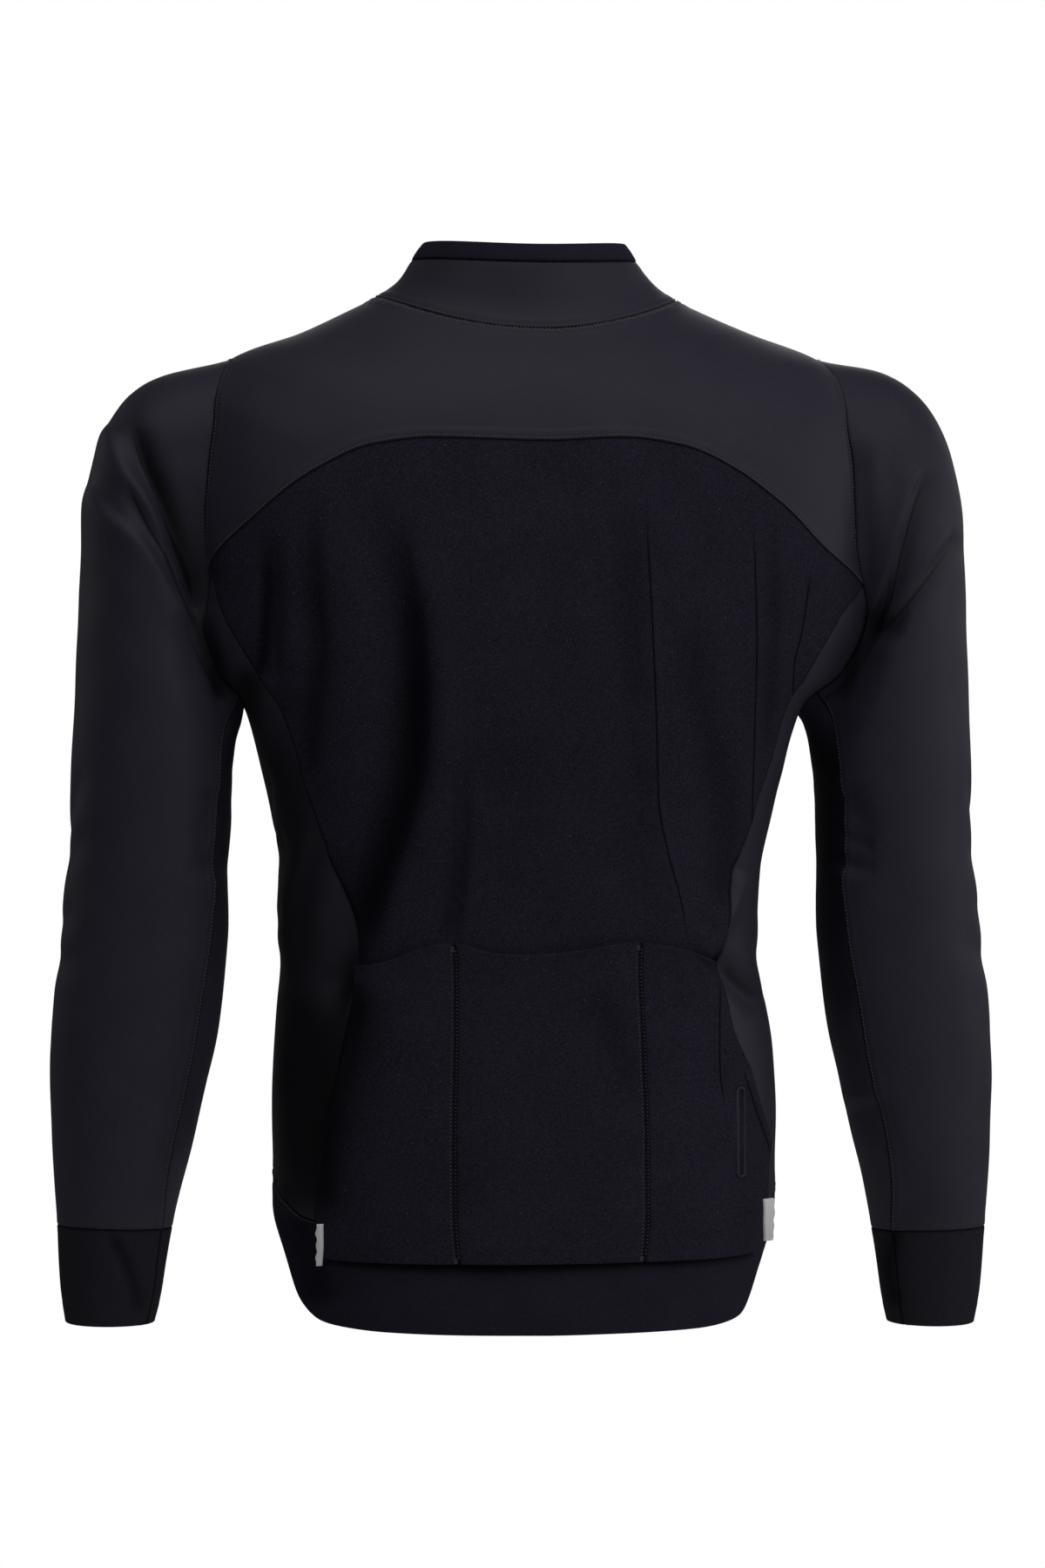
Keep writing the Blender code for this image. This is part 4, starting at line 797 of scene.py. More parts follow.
def rim(outerEdge, innerEdge, pick):
    # triangles from each fine stretch to the nearest coarse corner, and one for each coarse stretch
    nearest = np.searchsorted((pick[1:] + pick[:-1]) / 2, np.arange(len(outerEdge)))
    fine = np.stack([outerEdge[:-1], outerEdge[1:], innerEdge[nearest[:-1]]], -1)
    turns = np.flatnonzero(np.diff(nearest))
    coarse = np.stack([outerEdge[turns + 1], innerEdge[nearest[turns + 1]], innerEdge[nearest[turns]]], -1)
    return np.concatenate([fine, coarse])


def meshFrom(name, vertices, quads, triangles=None):
    triangles = np.zeros((0, 3), int) if triangles is None else triangles
    mesh = bpy.data.meshes.new(name)
    loops = np.concatenate([quads.reshape(-1), triangles.reshape(-1)]).astype(np.int32)
    sizes = np.concatenate([np.full(len(quads), 4), np.full(len(triangles), 3)])
    mesh.vertices.add(len(vertices))
    mesh.vertices.foreach_set("co", np.asarray(vertices, np.float32).ravel())
    mesh.loops.add(len(loops))
    mesh.loops.foreach_set("vertex_index", loops)
    mesh.polygons.add(len(sizes))
    mesh.polygons.foreach_set("loop_start", (np.cumsum(sizes) - sizes).astype(np.int32))
    mesh.polygons.foreach_set("loop_total", sizes.astype(np.int32))
    mesh.update(calc_edges=True)
    mesh.validate()
    mesh.shade_smooth()
    return mesh


def putUv(mesh, uv):
    corners = np.zeros(len(mesh.loops), np.int32)
    mesh.loops.foreach_get("vertex_index", corners)
    layer = mesh.uv_layers.new(name="UVMap")
    layer.data.foreach_set("uv", uv[corners].astype(np.float32).ravel())


def addPiece(name, mesh, materialName, nodes=(), body=jacket, sharp=60):
    mesh.set_sharp_from_angle(angle=math.radians(sharp))
    mesh.materials.append(finishes[materialName][0])
    thing = bpy.data.objects.new(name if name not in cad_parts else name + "_cloth", mesh)
    bpy.context.scene.collection.objects.link(thing)
    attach(thing, body)
    if nodes:
        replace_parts(thing, *nodes)
    return thing


class Wire:
    # a socket that takes part in plain arithmetic
    def __init__(self, graph, socket):
        self.graph, self.socket = graph, socket

    def math(self, operation, *others, clamp=False):
        inputs = dict(enumerate((self, *others)))
        return self.graph.node("ShaderNodeMath", {"operation": operation, "use_clamp": clamp}, inputs)

    def clamped(self):
        return self.math("ADD", 0.0, clamp=True)

    def __add__(self, other):
        return self.math("ADD", other)

    def __sub__(self, other):
        return self.math("SUBTRACT", other)

    def __mul__(self, other):
        return self.math("MULTIPLY", other)

    def __truediv__(self, other):
        return self.math("DIVIDE", other)

    def __pow__(self, other):
        return self.math("POWER", other)

    def __rsub__(self, other):
        return self.graph.node("ShaderNodeMath", {"operation": "SUBTRACT"}, {0: other, 1: self})

    __radd__, __rmul__ = __add__, __mul__


class Finish:
    # one material, built from expressions
    def __init__(self, name, **constants):
        self.material = bpy.data.materials.new(name)
        self.material.use_nodes = True
        self.tree = self.material.node_tree
        self.shader = self.tree.nodes["Principled BSDF"]
        for key, value in constants.items():
            self.shader.inputs[key.replace("_", " ")].default_value = value

    def put(self, socket, value):
        if isinstance(value, Wire):
            self.tree.links.new(value.socket, socket)
        else:
            socket.default_value = value

    def node(self, kind, settings=None, inputs=None, output=0):
        made = self.tree.nodes.new(kind)
        for key, value in (settings or {}).items():
            if key == "stops":
                ramp = made.color_ramp
                while len(ramp.elements) < len(value):
                    ramp.elements.new(0.5)
                for element, (position, shade) in zip(ramp.elements, value):
                    element.position, element.color = position, (shade, shade, shade, 1)
            else:
                setattr(made, key, value)
        for key, value in (inputs or {}).items():
            self.put(made.inputs[key], value)
        return Wire(self, made.outputs[output])

    def coordinates(self, output="Object"):
        return self.node("ShaderNodeTexCoord", output=output)

    def noise(self, scale, detail=2.0, vector=None, roughness=0.5):
        inputs = {"Scale": scale, "Detail": detail, "Roughness": roughness}
        return self.node("ShaderNodeTexNoise", None, {**inputs, "Vector": vector or self.coordinates()})

    def split(self, vector):
        made = self.node("ShaderNodeSeparateXYZ", None, {0: vector})
        outputs = made.socket.node.outputs
        return Wire(self, outputs[0]), Wire(self, outputs[1]), Wire(self, outputs[2])

    def mix(self, share, low, high):
        made = self.node("ShaderNodeMix", {"data_type": "RGBA"}, {0: share})
        self.put(made.socket.node.inputs[6], (*low, 1) if isinstance(low, tuple) else low)
        self.put(made.socket.node.inputs[7], (*high, 1) if isinstance(high, tuple) else high)
        return Wire(self, made.socket.node.outputs[2])

    def marks(self):
        # what markCreases wrote: distance from a sharp crease, its strength, and the painted shade of deep
        # folds, seams and undercuts
        return self.split(self.node("ShaderNodeAttribute", {"attribute_name": "crease"}, output=1))

    def surface(self, colour, roughness, height=None, depth=0.0001, metallic=None):
        self.put(self.shader.inputs["Base Color"], colour if isinstance(colour, Wire) else (*colour, 1))
        self.put(self.shader.inputs["Roughness"], roughness)
        if metallic is not None:
            self.put(self.shader.inputs["Metallic"], metallic)
        if height is not None:
            bump = self.node("ShaderNodeBump", None, {"Height": height, "Distance": depth, "Strength": 1.0})
            self.put(self.shader.inputs["Normal"], bump)
        return self.material


# a thin line of painted shade along a sharp crease: its share of the shade colour, by the distance from the
# crease
def paintedCreaseShade(away, strength, width):
    return ((away / width) ** 2.0 * -1.0).math("EXPONENT") * strength


shellLook = {
    "dark": (0.0220, 0.0206, 0.0335),
    "light": (0.0490, 0.0455, 0.0710),
    "roughness": 0.56,
    "weave": 0.0006,  # metres across and down a fleck of the grain
    "run": 0.0026,
    "shade": (0.0020, 0.0020, 0.0026),
    "crease": 0.0009,  # half width of a sharp crease
    "depth": 0.00006,  # height of the grain's relief
}
knitLook = {
    "dark": (0.0085, 0.0080, 0.0130),
    "light": (0.0410, 0.0390, 0.0640),
    "fleck": (0.105, 0.102, 0.125),
    "shade": (0.0016, 0.0016, 0.0022),
    "crease": 0.0007,
    "depth": 0.00016,
}
cuffLook = {
    "dark": (0.0150, 0.0144, 0.0202),
    "light": (0.0355, 0.0338, 0.0460),
    "shade": (0.0020, 0.0020, 0.0026),
    "rib": 0.0017,
    "depth": 0.00012,
}
tapeLook = {"dark": (0.0050, 0.0048, 0.0058), "light": (0.0100, 0.0098, 0.0115), "weave": 0.0011}


def shellFinish():
    # a smooth woven face: fine wales, a slow drift of tone and a soft sheen
    look = shellLook
    m = Finish("shell", Specular_IOR_Level=0.2, Sheen_Weight=0.02, Sheen_Roughness=0.4)
    x, y, _ = m.split(m.coordinates("UV"))
    along = m.node("ShaderNodeCombineXYZ", None, {0: x / look["weave"], 1: y / look["run"], 2: 0.0})
    weave = m.noise(1.0, 2.0, along)
    drift = m.noise(34.0, 3.0)
    grain = m.noise(900.0, 1.0)
    share = drift * 0.40 + grain * 0.25 + (weave - 0.5) * 0.9 + 0.12
    # painted shade: thin lines along sharp creases and the broad shade of deep folds, seams and undercuts,
    # both mixed towards the shade colour
    away, strength, paintedShade = m.marks()
    line = paintedCreaseShade(away, strength, look["crease"])
    colour = m.mix(line * 0.75, m.mix(share, look["dark"], look["light"]), look["shade"])
    colour = m.mix(paintedShade, colour, look["shade"])
    roughness = drift * 0.10 + (look["roughness"] - 0.05)
    return m.surface(colour, roughness, weave * 0.6 + grain * 0.8, look["depth"])


def knitFinish(name="knit", contrast=1.0):
    # a brushed, mottled knit: short pale fibres over a nearly black ground
    look = knitLook
    m = Finish(name, Specular_IOR_Level=0.05)
    fine, mottle = m.noise(1500.0, 2.0, roughness=0.7), m.noise(1000.0, 1.0)
    drift = m.noise(26.0, 2.0)
    share = (fine - 0.5) * (2.3 * contrast) + 0.45 + (mottle - 0.5) * (0.8 * contrast)
    share = (share + (drift - 0.5) * 0.3).clamped()
    fleck = ((m.noise(760.0, 1.0) - 0.70) * 9.0).clamped()
    # painted shade: thin lines along sharp creases and the broad shade of deep folds, seams and undercuts,
    # both mixed towards the shade colour; the crease lines also dent the bump
    away, strength, paintedShade = m.marks()
    line = paintedCreaseShade(away, strength, look["crease"])
    colour = m.mix(fleck * (0.8 * contrast), m.mix(share, look["dark"], look["light"]), look["fleck"])
    colour = m.mix(paintedShade, m.mix(line * 0.8, colour, look["shade"]), look["shade"])
    return m.surface(colour, 0.93, fine * 0.7 + mottle * 0.8 - line * 3.0, look["depth"])


def cuffFinish():
    # a matte elastic knit with close upright ribs
    look = cuffLook
    m = Finish("cuffKnit", Specular_IOR_Level=0.05)
    x, _, _ = m.split(m.coordinates("UV"))
    rib = (x * (2 * math.pi / look["rib"])).math("SINE") * 0.5 + 0.5
    fine = m.noise(1000.0, 2.0)
    # painted shade of deep folds, seams and undercuts, mixed towards the shade colour
    _, _, paintedShade = m.marks()
    colour = m.mix((fine * 0.8 + rib * 0.2).clamped(), look["dark"], look["light"])
    colour = m.mix(paintedShade, colour, look["shade"])
    return m.surface(colour, 0.9, rib * 0.5 + fine * 0.8, look["depth"])


def threadFinish(name, colour):
    m = Finish(name, Specular_IOR_Level=0.35, Sheen_Weight=0.1)
    fine = m.noise(3000.0, 1.0)
    return m.surface(m.mix(fine, tuple(c * 0.75 for c in colour), colour), 0.55)


def tapeFinish():
    # a herringbone woven tape
    look = tapeLook
    m = Finish("zipTape", Specular_IOR_Level=0.2)
    x, y, _ = m.split(m.coordinates("UV"))
    zigzag = ((x / look["weave"]).math("PINGPONG", 1.0) + y / look["weave"]) * (2 * math.pi)
    weave = zigzag.math("SINE") * 0.5 + 0.5
    return m.surface(m.mix(weave, look["dark"], look["light"]), 0.82, weave, 0.0001)


def reflectiveFinish():
    # pale grey tape faced with fine glass beads
    m = Finish("reflectiveTape", Specular_IOR_Level=0.5)
    beads = m.noise(2600.0, 1.0)
    slow = m.noise(140.0, 2.0)
    colour = m.mix(slow * 0.5 + beads * 0.5, (0.88, 0.89, 0.90), (0.97, 0.97, 0.98))
    return m.surface(colour, 0.38, beads, 0.00003)


def coilFinish():
    m = Finish("zipCoil", Specular_IOR_Level=0.4)
    wear = m.noise(600.0, 1.0)
    return m.surface(m.mix(wear, (0.006, 0.006, 0.007), (0.013, 0.013, 0.015)), wear * 0.15 + 0.35)


def metalFinish():
    # black lacquer, a little thin on its edges
    m = Finish("lacqueredMetal", Specular_IOR_Level=0.5, Coat_Roughness=0.2)
    wear = m.noise(420.0, 3.0)
    thin = ((wear - 0.62) * 6).clamped()
    colour = m.mix(thin, (0.012, 0.012, 0.013), (0.06, 0.06, 0.063))
    return m.surface(colour, wear * 0.2 + 0.25, wear, 0.00002, metallic=thin * 0.4 + 0.5)


finishes = {
    "shell": (shellFinish(), "smooth shell"),
    "knit": (knitFinish(), "brushed knit"),
    "bandKnit": (knitFinish("bandKnit", 0.4), "brushed knit"),
    "cuff": (cuffFinish(), "rib cuff"),
    "tape": (tapeFinish(), "brushed knit"),
    "reflective": (reflectiveFinish(), "reflective"),
    "coil": (coilFinish(), "zip"),
    "metal": (metalFinish(), "metal"),
    "shellThread": (threadFinish("shellThread", (0.095, 0.092, 0.116)), "smooth shell"),
    "knitThread": (threadFinish("knitThread", (0.062, 0.060, 0.076)), "brushed knit"),
    "cuffThread": (threadFinish("cuffThread", (0.026, 0.025, 0.032)), "rib cuff"),
}
print("finishes ready")

plans = {"yoke": yokePlan(), "back_panel": backPlan()}
for side in (-1, 1):
    plans["side_panel_" + sideName(side)] = sidePlan(side)
    plans["front_" + sideName(side)] = frontPlan(side)
plans["hem_band"] = hemPlan(plans)
print("plans ready")


zipGap = {"half": 0.005, "reach": 0.03, "from": 150}  # metres, metres and degrees of turn


def parted(points, turn):
    # near the centre front the cloth is drawn aside, so that the zip's tape shows
    width = abs(points[..., 0])
    aside = width + zipGap["half"] * np.clip(1 - width / zipGap["reach"], 0, 1)
    points[..., 0] = np.where(abs(turn) > zipGap["from"], np.sign(turn) * aside, points[..., 0])
    return points


def frontSurface(plan):
    return parted(bodyPoints(plan), plan[..., 0])


def collarSurface(plan):
    return parted(ringPoint(collarRings, plan[..., 0], plan[..., 1]), plan[..., 0])


def bindingPuff(plan, v, u, rise=0.0007):
    # the folded binding is fullest along its middle
    return rise * np.sin(math.pi * np.clip(v / v[-1], 0, 1))


def sew(name, plan, surface, styles, materialName, **more):
    # styles of the top, bottom, left and right edge, or one for all four
    styles = styles.split() * (1 if " " in styles else 4)
    pieces[name] = clothPiece(name, plan, surface, styles, materialName, **more)


pieces = {}
sew("yoke", evenByLength(plans["yoke"], bodyPoints), bodyPoints, "topstitched", "shell")
backPlace = evenByLength(plans["back_panel"], bodyPoints)
sew("back_panel", backPlace, bodyPoints, "seam", "knit", cell=(0.0025, 0.0014))
print("yoke and back ready")
for side in (-1, 1):
    name = "side_panel_" + sideName(side)
    sew(name, evenByLength(plans[name], bodyPoints), bodyPoints, "seam", "shell")
    name = "front_" + sideName(side)
    plan = evenByLength(plans[name], frontSurface)
    sew(name, plan, frontSurface, "topstitched seam topstitched topstitched", "shell")
sew("hem_band", plans["hem_band"], frontSurface, "seam free free free", "bandKnit")
sew("collar", collarPlan(0, 2), collarSurface, "seam topstitched topstitched topstitched", "shell")
sew("collar_binding", collarPlan(2, 3), collarSurface, "free seam free free", "bandKnit", lift=bindingPuff)
print("body ready")

armSections = np.linspace(0, cuffSection, 261)
# each sleeve piece's edges and the size of its inner faces, finer where the folds are deep
sleeveStyles = {"upper": ("seam seam topstitched topstitched", 0.003), "under": ("seam", None)}
for side in (-1, 1):

    def surface(plan, side=side):
        return sleevePoints(side, plan)

    for part, (styles, innerCell) in sleeveStyles.items():
        plan = evenByLength(sleevePlan(side, armSections, part), surface)
        sew("sleeve_" + part + "_" + sideName(side), plan, surface, styles, "shell", innerCell=innerCell)
    plan = evenByLength(sleevePlan(side, np.linspace(cuffSection, lastSection, 41), "whole"), surface)
    sew("cuff_" + sideName(side), plan, surface, "seam free seam seam", "cuff")
print("sleeves ready")

pocket = {
    "lift": 0.0009,
    "mouthLift": 0.0017,  # added at the open mouths
    "mouthReach": 0.012,
    "puff": 0.0011,  # how far each pocket stands out between its seams
    "puffReach": 0.008,
    "seamDip": 0.0004,
    "dipWidth": 0.0018,
    "wall": 0.0015,
    # turn and height down each seam between two pockets
    "leftSeam": ((-21.2, -0.418), (-20.5, -0.478), (-20.5, -0.590), (-20.5, -0.618)),
    "rightSeam": ((22.2, -0.417), (22.2, -0.4485), (22.0, -0.494), (21.8, -0.583), (21.8, -0.618)),
}
pocketSeams = ("leftSeam", "rightSeam")
perDegree = 0.0021  # metres of cloth across the back in one degree of turn


def seamTurn(line, z):
    line = np.array(line)[::-1]
    return np.interp(z, line[:, 1], line[:, 0])


def pocketLift(plan, v, u):
    # the pockets stand out between their seams, and most at their mouths
    z = ringHeight(bodyRings, plan[..., 0], plan[..., 1])
    away = [abs(plan[..., 0] - seamTurn(pocket[key], z)) * perDegree for key in pocketSeams]
    away = np.min([*away, u, u[:, -1:] - u], axis=0)
    full = 1 - np.exp(-((away / pocket["puffReach"]) ** 2))
    dip = pocket["seamDip"] * np.exp(-((away / pocket["dipWidth"]) ** 2))
    mouth = pocket["mouthLift"] * np.exp(-v / pocket["mouthReach"])
    return pocket["wall"] + pocket["lift"] + mouth + pocket["puff"] * full - dip


pocketPlace = evenByLength(pocketPlan(plans), bodyPoints)
sew("pocket_panel", pocketPlace, bodyPoints, "free free seam seam", "knit",
    cell=(0.0022, 0.0016), wall=pocket["wall"], lift=pocketLift)
print("pockets ready")

# Sharp creases, finer than the mesh, that the knit's and the shell's finish paint as thin lines of shade by
# their distance.
# Each is a fold named above or a path of its own in the back view, in millimetres
foldPaths = {name: path for name, _, _, _, _, *path in folds}
creases = {
    "back_panel": ("long crease right", "side line right", "blade crease right"),
    "pocket_panel": ("pocket crease right", "pocket fan right"),
    "sleeve_upper_left": (
        ((-266, -119), (-255, -143), (-241, -167), (-229, -195), (-220, -213)),
        ((-264, -82), (-257, -105), (-246, -132), (-236, -158), (-226, -184), (-219, -203)),
    ),
    "sleeve_upper_right": (
        ((262, -110), (254, -126), (246, -152), (240, -179), (234, -207), (228, -219)),
        ((281, -153), (263, -175), (245, -198), (229, -219)),
    ),
}
creaseReach = 0.004
# Painted shade where little light reaches the cloth: deep folds, undercuts and the sides under the arms.
# Each row: piece, strength, half width on the - and + side and the path in the back view, in millimetres
shades = (
    ("sleeve_upper_left", 0.93, 3, 7.5, (-262, -66, 0.3), (-256, -96, 0.8), (-248, -118), (-240, -139),
     (-232, -165), (-224, -188), (-218, -204)),
    ("sleeve_upper_left", 0.9, 5, 6, (-222, -198), (-214, -232), (-203, -260)),
    ("side_panel_left", 0.8, 5, 4.5, (-218, -195, 0.5), (-208, -232), (-199, -262)),
    ("side_panel_left", 0.93, 9, 8, (-186, -232, 0.6), (-187, -250), (-190, -275), (-186, -300, 0.5)),
    ("back_panel", 0.75, 4.5, 4, (-178, -150, 0.4), (-177, -188), (-179, -226), (-182, -250)),
    ("back_panel", 0.35, 6, 5, (-153, -140, 0.4), (-149, -187), (-146, -229), (-150, -290),
     (-153, -320, 0.5)),
    ("back_panel", 0.75, 14, 8, (-102, -132, 0.1), (-91, -174, 0.5), (-84, -216, 0.85), (-82, -257),
     (-83, -299), (-93, -341), (-107, -384), (-118, -430)),
    ("back_panel", 0.7, 9, 9, (-138, -345, 0.2), (-131, -380, 0.8), (-124, -412), (-122, -436)),
    ("back_panel", 0.35, 6, 3.5, (-53, -300, 0.2), (-54, -350, 0.7), (-58, -390), (-63, -420)),
    ("back_panel", 0.8, 3, 6, (112, -424, 0.5), (120, -433), (128, -442), (136, -450)),
    ("side_panel_right", 0.6, 3, 4, (122, -433), (134, -444), (150, -457, 0.3)),
    ("pocket_panel", 0.8, 3, 6, (118, -431), (128, -441), (139, -452, 0.7)),
    ("side_panel_left", 0.62, 45, 40, (-172, -255, 0.6), (-168, -300), (-158, -350), (-157, -430),
     (-156, -484), (-158, -541), (-159, -600)),
    ("side_panel_left", 0.7, 16, 16, (-150, -440, 0.3), (-152, -484), (-156, -541), (-158, -600)),
    ("side_panel_left", 0.85, 8, 6, (-124, -415, 0.5), (-121, -436), (-134, -507), (-146, -597)),
    ("pocket_panel", 0.75, 6, 11, (-119, -436), (-134, -507), (-144, -600)),
    ("pocket_panel", 0.3, 14, 14, (-112, -440), (-118, -500), (-120, -560, 0.4)),
    ("pocket_panel", 0.28, 11, 9, (30, -440, 0.5), (48, -475), (56, -520, 0.4)),
    ("back_panel", 0.22, 12, 6, (50, -130, 0.5), (55, -200), (58, -270, 0.5)),
    ("back_panel", 0.28, 9, 11, (88, -200, 0.4), (106, -285), (120, -342), (118, -402, 0.7)),
    ("back_panel", 0.3, 8, 3, (150, -140, 0.4), (153, -200), (152, -260), (150, -300, 0.3)),
    ("sleeve_under_left", 0.5, 30, 30, (-204, -280), (-206, -360), (-216, -450, 0.3)),
    ("sleeve_under_right", 0.8, 30, 30, (204, -270), (207, -360), (216, -480, 0.4)),
    ("cuff_left", 0.35, 3, 4.5, (-278, -609), (-268, -626), (-261, -644), (-257, -664)),
    ("cuff_right", 0.6, 4, 3, (250, -606), (247, -634), (252, -668)),
    ("hem_band", 0.5, 12, 12, (-156, -590), (-150, -625), (-140, -655)),
    ("sleeve_upper_right", 0.25, 2.5, 4.5, (272, -100, 0.2), (258, -124, 0.6), (249, -152), (243, -179),
     (236, -209), (228, -224)),
    ("sleeve_upper_right", 0.25, 2, 4, (286, -148, 0.3), (266, -174, 0.8), (248, -199), (231, -222)),
    ("sleeve_upper_right", 0.55, 3.5, 2.5, (218, -196, 0.4), (221, -214), (218, -238), (208, -262, 0.6)),
)


def shadeOf(key, grid):
    # how much painted shade each point of a piece gets from the rows of shades for it
    lit = np.ones(len(grid))
    flat = grid[:, (0, 2)]
    for piece, strength, low, high, *path in shades:
        if piece == key:
            low, high, path = low / 1000, high / 1000, smoothPath(path)
            near = nearPath(flat, path, foldShape["reach"] * max(low, high)) & (grid[:, 1] < 0.01)
            if near.any():
                lit[near] *= 1 - strength * bell(flat[near], path, low, high)
    return 1 - lit


def markCreases(key, extra=(), undercutShade=None):
    # for each point of a piece: its distance from the nearest crease, how strong that one is there,
    # and how much painted shade it gets from folds, seams and undercuts
    grid = pieces[key]["outer"].reshape(-1, 3)
    best, weight = np.full(len(grid), 1.0), np.zeros(len(grid))
    flat = grid[:, (0, 2)]
    for path in creases.get(key, ()):
        path = smoothPath(foldPaths.get(path, path))
        near = nearPath(flat, path, creaseReach) & (grid[:, 1] < 0)
        away, along, _ = fromPath(flat[near], path)
        nearer = abs(away) < abs(best[near])
        best[near] = np.where(nearer, away, best[near])
        weight[near] = np.where(nearer, endFade(along), weight[near])
    for away, strength in extra:
        nearer = abs(away) < abs(best)
        best, weight = np.where(nearer, away, best), np.where(nearer, strength, weight)
    weight = weight * (abs(best) < creaseReach)
    mesh = pieces[key]["object"].data
    values = np.zeros((len(mesh.vertices), 3), np.float32)
    values[:, 0] = 1
    # painted shade along the seams
    seam = np.exp(-((pieces[key]["fromSeam"].ravel() / sewing["shadeWidth"]) ** 2))
    lit = (1 - shadeOf(key, grid)) * (1 - sewing["shade"] * seam)
    paintedShade = 1 - lit if undercutShade is None else np.maximum(1 - lit, undercutShade.ravel())
    values[: len(grid)] = np.stack([best, weight, paintedShade], -1)
    mesh.attributes.new("crease", "FLOAT_VECTOR", "POINT").data.foreach_set("vector", values.ravel())


thread = {"pitch": 0.00235, "length": 0.0016, "radius": 0.00042, "sunk": 0.00010}
# pitch, length and radius of the other threads
coverThread, bartackThread = (0.0036, 0.0034, 0.00026), (0.0038, 0.0037, 0.00028)
dividerThread = (0.00234, 0.00135, 0.00048)


def readAt(at, run, values):
    return np.stack([np.interp(at, run, values[:, k]) for k in range(3)], -1)


def stitchRow(points, normals, pitch=thread["pitch"], length=thread["length"], radius=thread["radius"]):
    # evenly spaced small spindles along a line: three rings of six points and two tips each
    run = lengthsAlong(points, 0)
    at = np.arange(pitch / 2, run[-1], pitch)
    centre, out = readAt(at, run, points), unit(readAt(at, run, normals))
    along = unit(readAt(at + pitch / 3, run, points) - readAt(at - pitch / 3, run, points))
    beside = np.cross(out, along)
    share = np.array([-0.5, -0.36, 0.0, 0.36, 0.5])
    size = np.array([0.0, 0.72, 1.0, 0.72, 0.0])
    lift = np.array([-0.6, 0.1, 0.6, 0.1, -0.6])
    angle = np.arange(6) * math.pi / 3
    ring = np.cos(angle)[:, None, None] * beside[None] + np.sin(angle)[:, None, None] * out[None]
    body = (
        centre[None, None]
        + along * (share * length)[:, None, None, None]
        + out * (lift * radius - thread["sunk"])[:, None, None, None]
        + ring[None] * (size * radius)[:, None, None, None]
    )
    body = np.moveaxis(body, 2, 0)  # stitch, ring, corner, xyz
    tips = body[:, (0, -1), 0]
    vertices = np.concatenate([body[:, 1:4].reshape(len(at), 18, 3), tips], axis=1)
    k = np.arange(6)
    n = (k + 1) % 6
    quads = np.concatenate([r * 6 + np.stack([k, n, n + 6, k + 6], -1) for r in (0, 1)])
    tris = np.concatenate([np.stack([n, k, 0 * k + 18], -1), np.stack([12 + k, 12 + n, 0 * k + 19], -1)])
    offset = (np.arange(len(at)) * 20)[:, None, None]
    return vertices.reshape(-1, 3), (quads + offset).reshape(-1, 4), (tris + offset).reshape(-1, 3)


def lineFrom(piece, edge, distance):
    # the line over a piece at one distance from an edge, and the directions out of the cloth there
    grid, out = piece["outer"], piece["normals"]
    if edge in ("bottom", "right"):
        grid, out = grid[::-1, ::-1], out[::-1, ::-1]
    if edge in ("left", "right"):
        grid, out = np.swapaxes(grid, 0, 1), np.swapaxes(out, 0, 1)
    run = lengthsAlong(grid, 0)
    i = np.clip((run <= distance).sum(axis=0) - 1, 0, len(grid) - 2)
    j = np.arange(grid.shape[1])
    f = ((distance - run[i, j]) / np.maximum(run[i + 1, j] - run[i, j], 1e-9))[:, None]
    return grid[i, j] * (1 - f) + grid[i + 1, j] * f, unit(out[i, j])


def stitches(name, materialName, rows):
    parts, count = [], 0
    for row in rows:
        vertices, quads, triangles = stitchRow(*row)
        parts.append((vertices, quads + count, triangles + count))
        count += len(vertices)
    vertices, quads, triangles = (np.concatenate(group) for group in zip(*parts))
    return addPiece(name, meshFrom(name, vertices, quads, triangles), materialName)


def sewnEdges(name, materialName, keys):
    # a row of stitches beside each edge that is named for each piece
    distance = edges["topstitched"]["stitch"]
    named = [(key, edge) for key, edgeNames in keys.items() for edge in edgeNames.split()]
    stitches(name, materialName, [lineFrom(pieces[key], edge, distance) for key, edge in named])


sewnEdges("stitches_yoke", "shellThread", {"yoke": "top bottom left right"})
# The neck seam is covered by two rows with a thread that zigzags between them
neckRows = [lineFrom(pieces["yoke"], "top", distance) for distance in (0.0010, 0.0034)]
(upper, out), (lower, _) = neckRows
cross = []
for k in range(len(out) - 1):
    start, end = (lower, upper) if k % 2 else (upper, lower)
    cross.append((np.linspace(start[k], end[k + 1], 4), out[[k] * 4], *coverThread))
stitches("stitches_neck", "shellThread", neckRows + cross)
sewnEdges("stitches_fronts", "shellThread", {"front_left": "left right top", "front_right": "left right top"})
sewnEdges("stitches_collar", "shellThread", {"collar": "bottom left right"})
sleeveEdges = {"sleeve_upper_left": "left right", "sleeve_upper_right": "left right"}
sewnEdges("stitches_sleeves", "shellThread", sleeveEdges)


def onPocket(turn, z):
    # points on the pocket panel's outer face, found by turn and height in its own grid
    piece = pieces["pocket_panel"]
    plan = piece["plan"]
    heights = ringHeight(bodyRings, plan[..., 0], plan[..., 1])
    turn, z = np.atleast_1d(turn), np.atleast_1d(z)
    across = (plan[None, ..., 0] - turn[:, None, None]) * perDegree
    apart = across**2 + (heights[None] - z[:, None, None]) ** 2
    best = apart.reshape(len(turn), -1).argmin(1)
    i, j = np.unravel_index(best, heights.shape)
    i, j = np.clip(i, 1, heights.shape[0] - 2), np.clip(j, 1, heights.shape[1] - 2)
    grid = piece["outer"]
    out = unit(piece["normals"][i, j])
    byTurn = (grid[i, j + 1] - grid[i, j - 1]) / (plan[i, j + 1, 0] - plan[i, j - 1, 0])[:, None]
    byZ = (grid[i + 1, j] - grid[i - 1, j]) / (heights[i + 1, j] - heights[i - 1, j])[:, None]
    return grid[i, j] + byTurn * (turn - plan[i, j, 0])[:, None] + byZ * (z - heights[i, j])[:, None], out


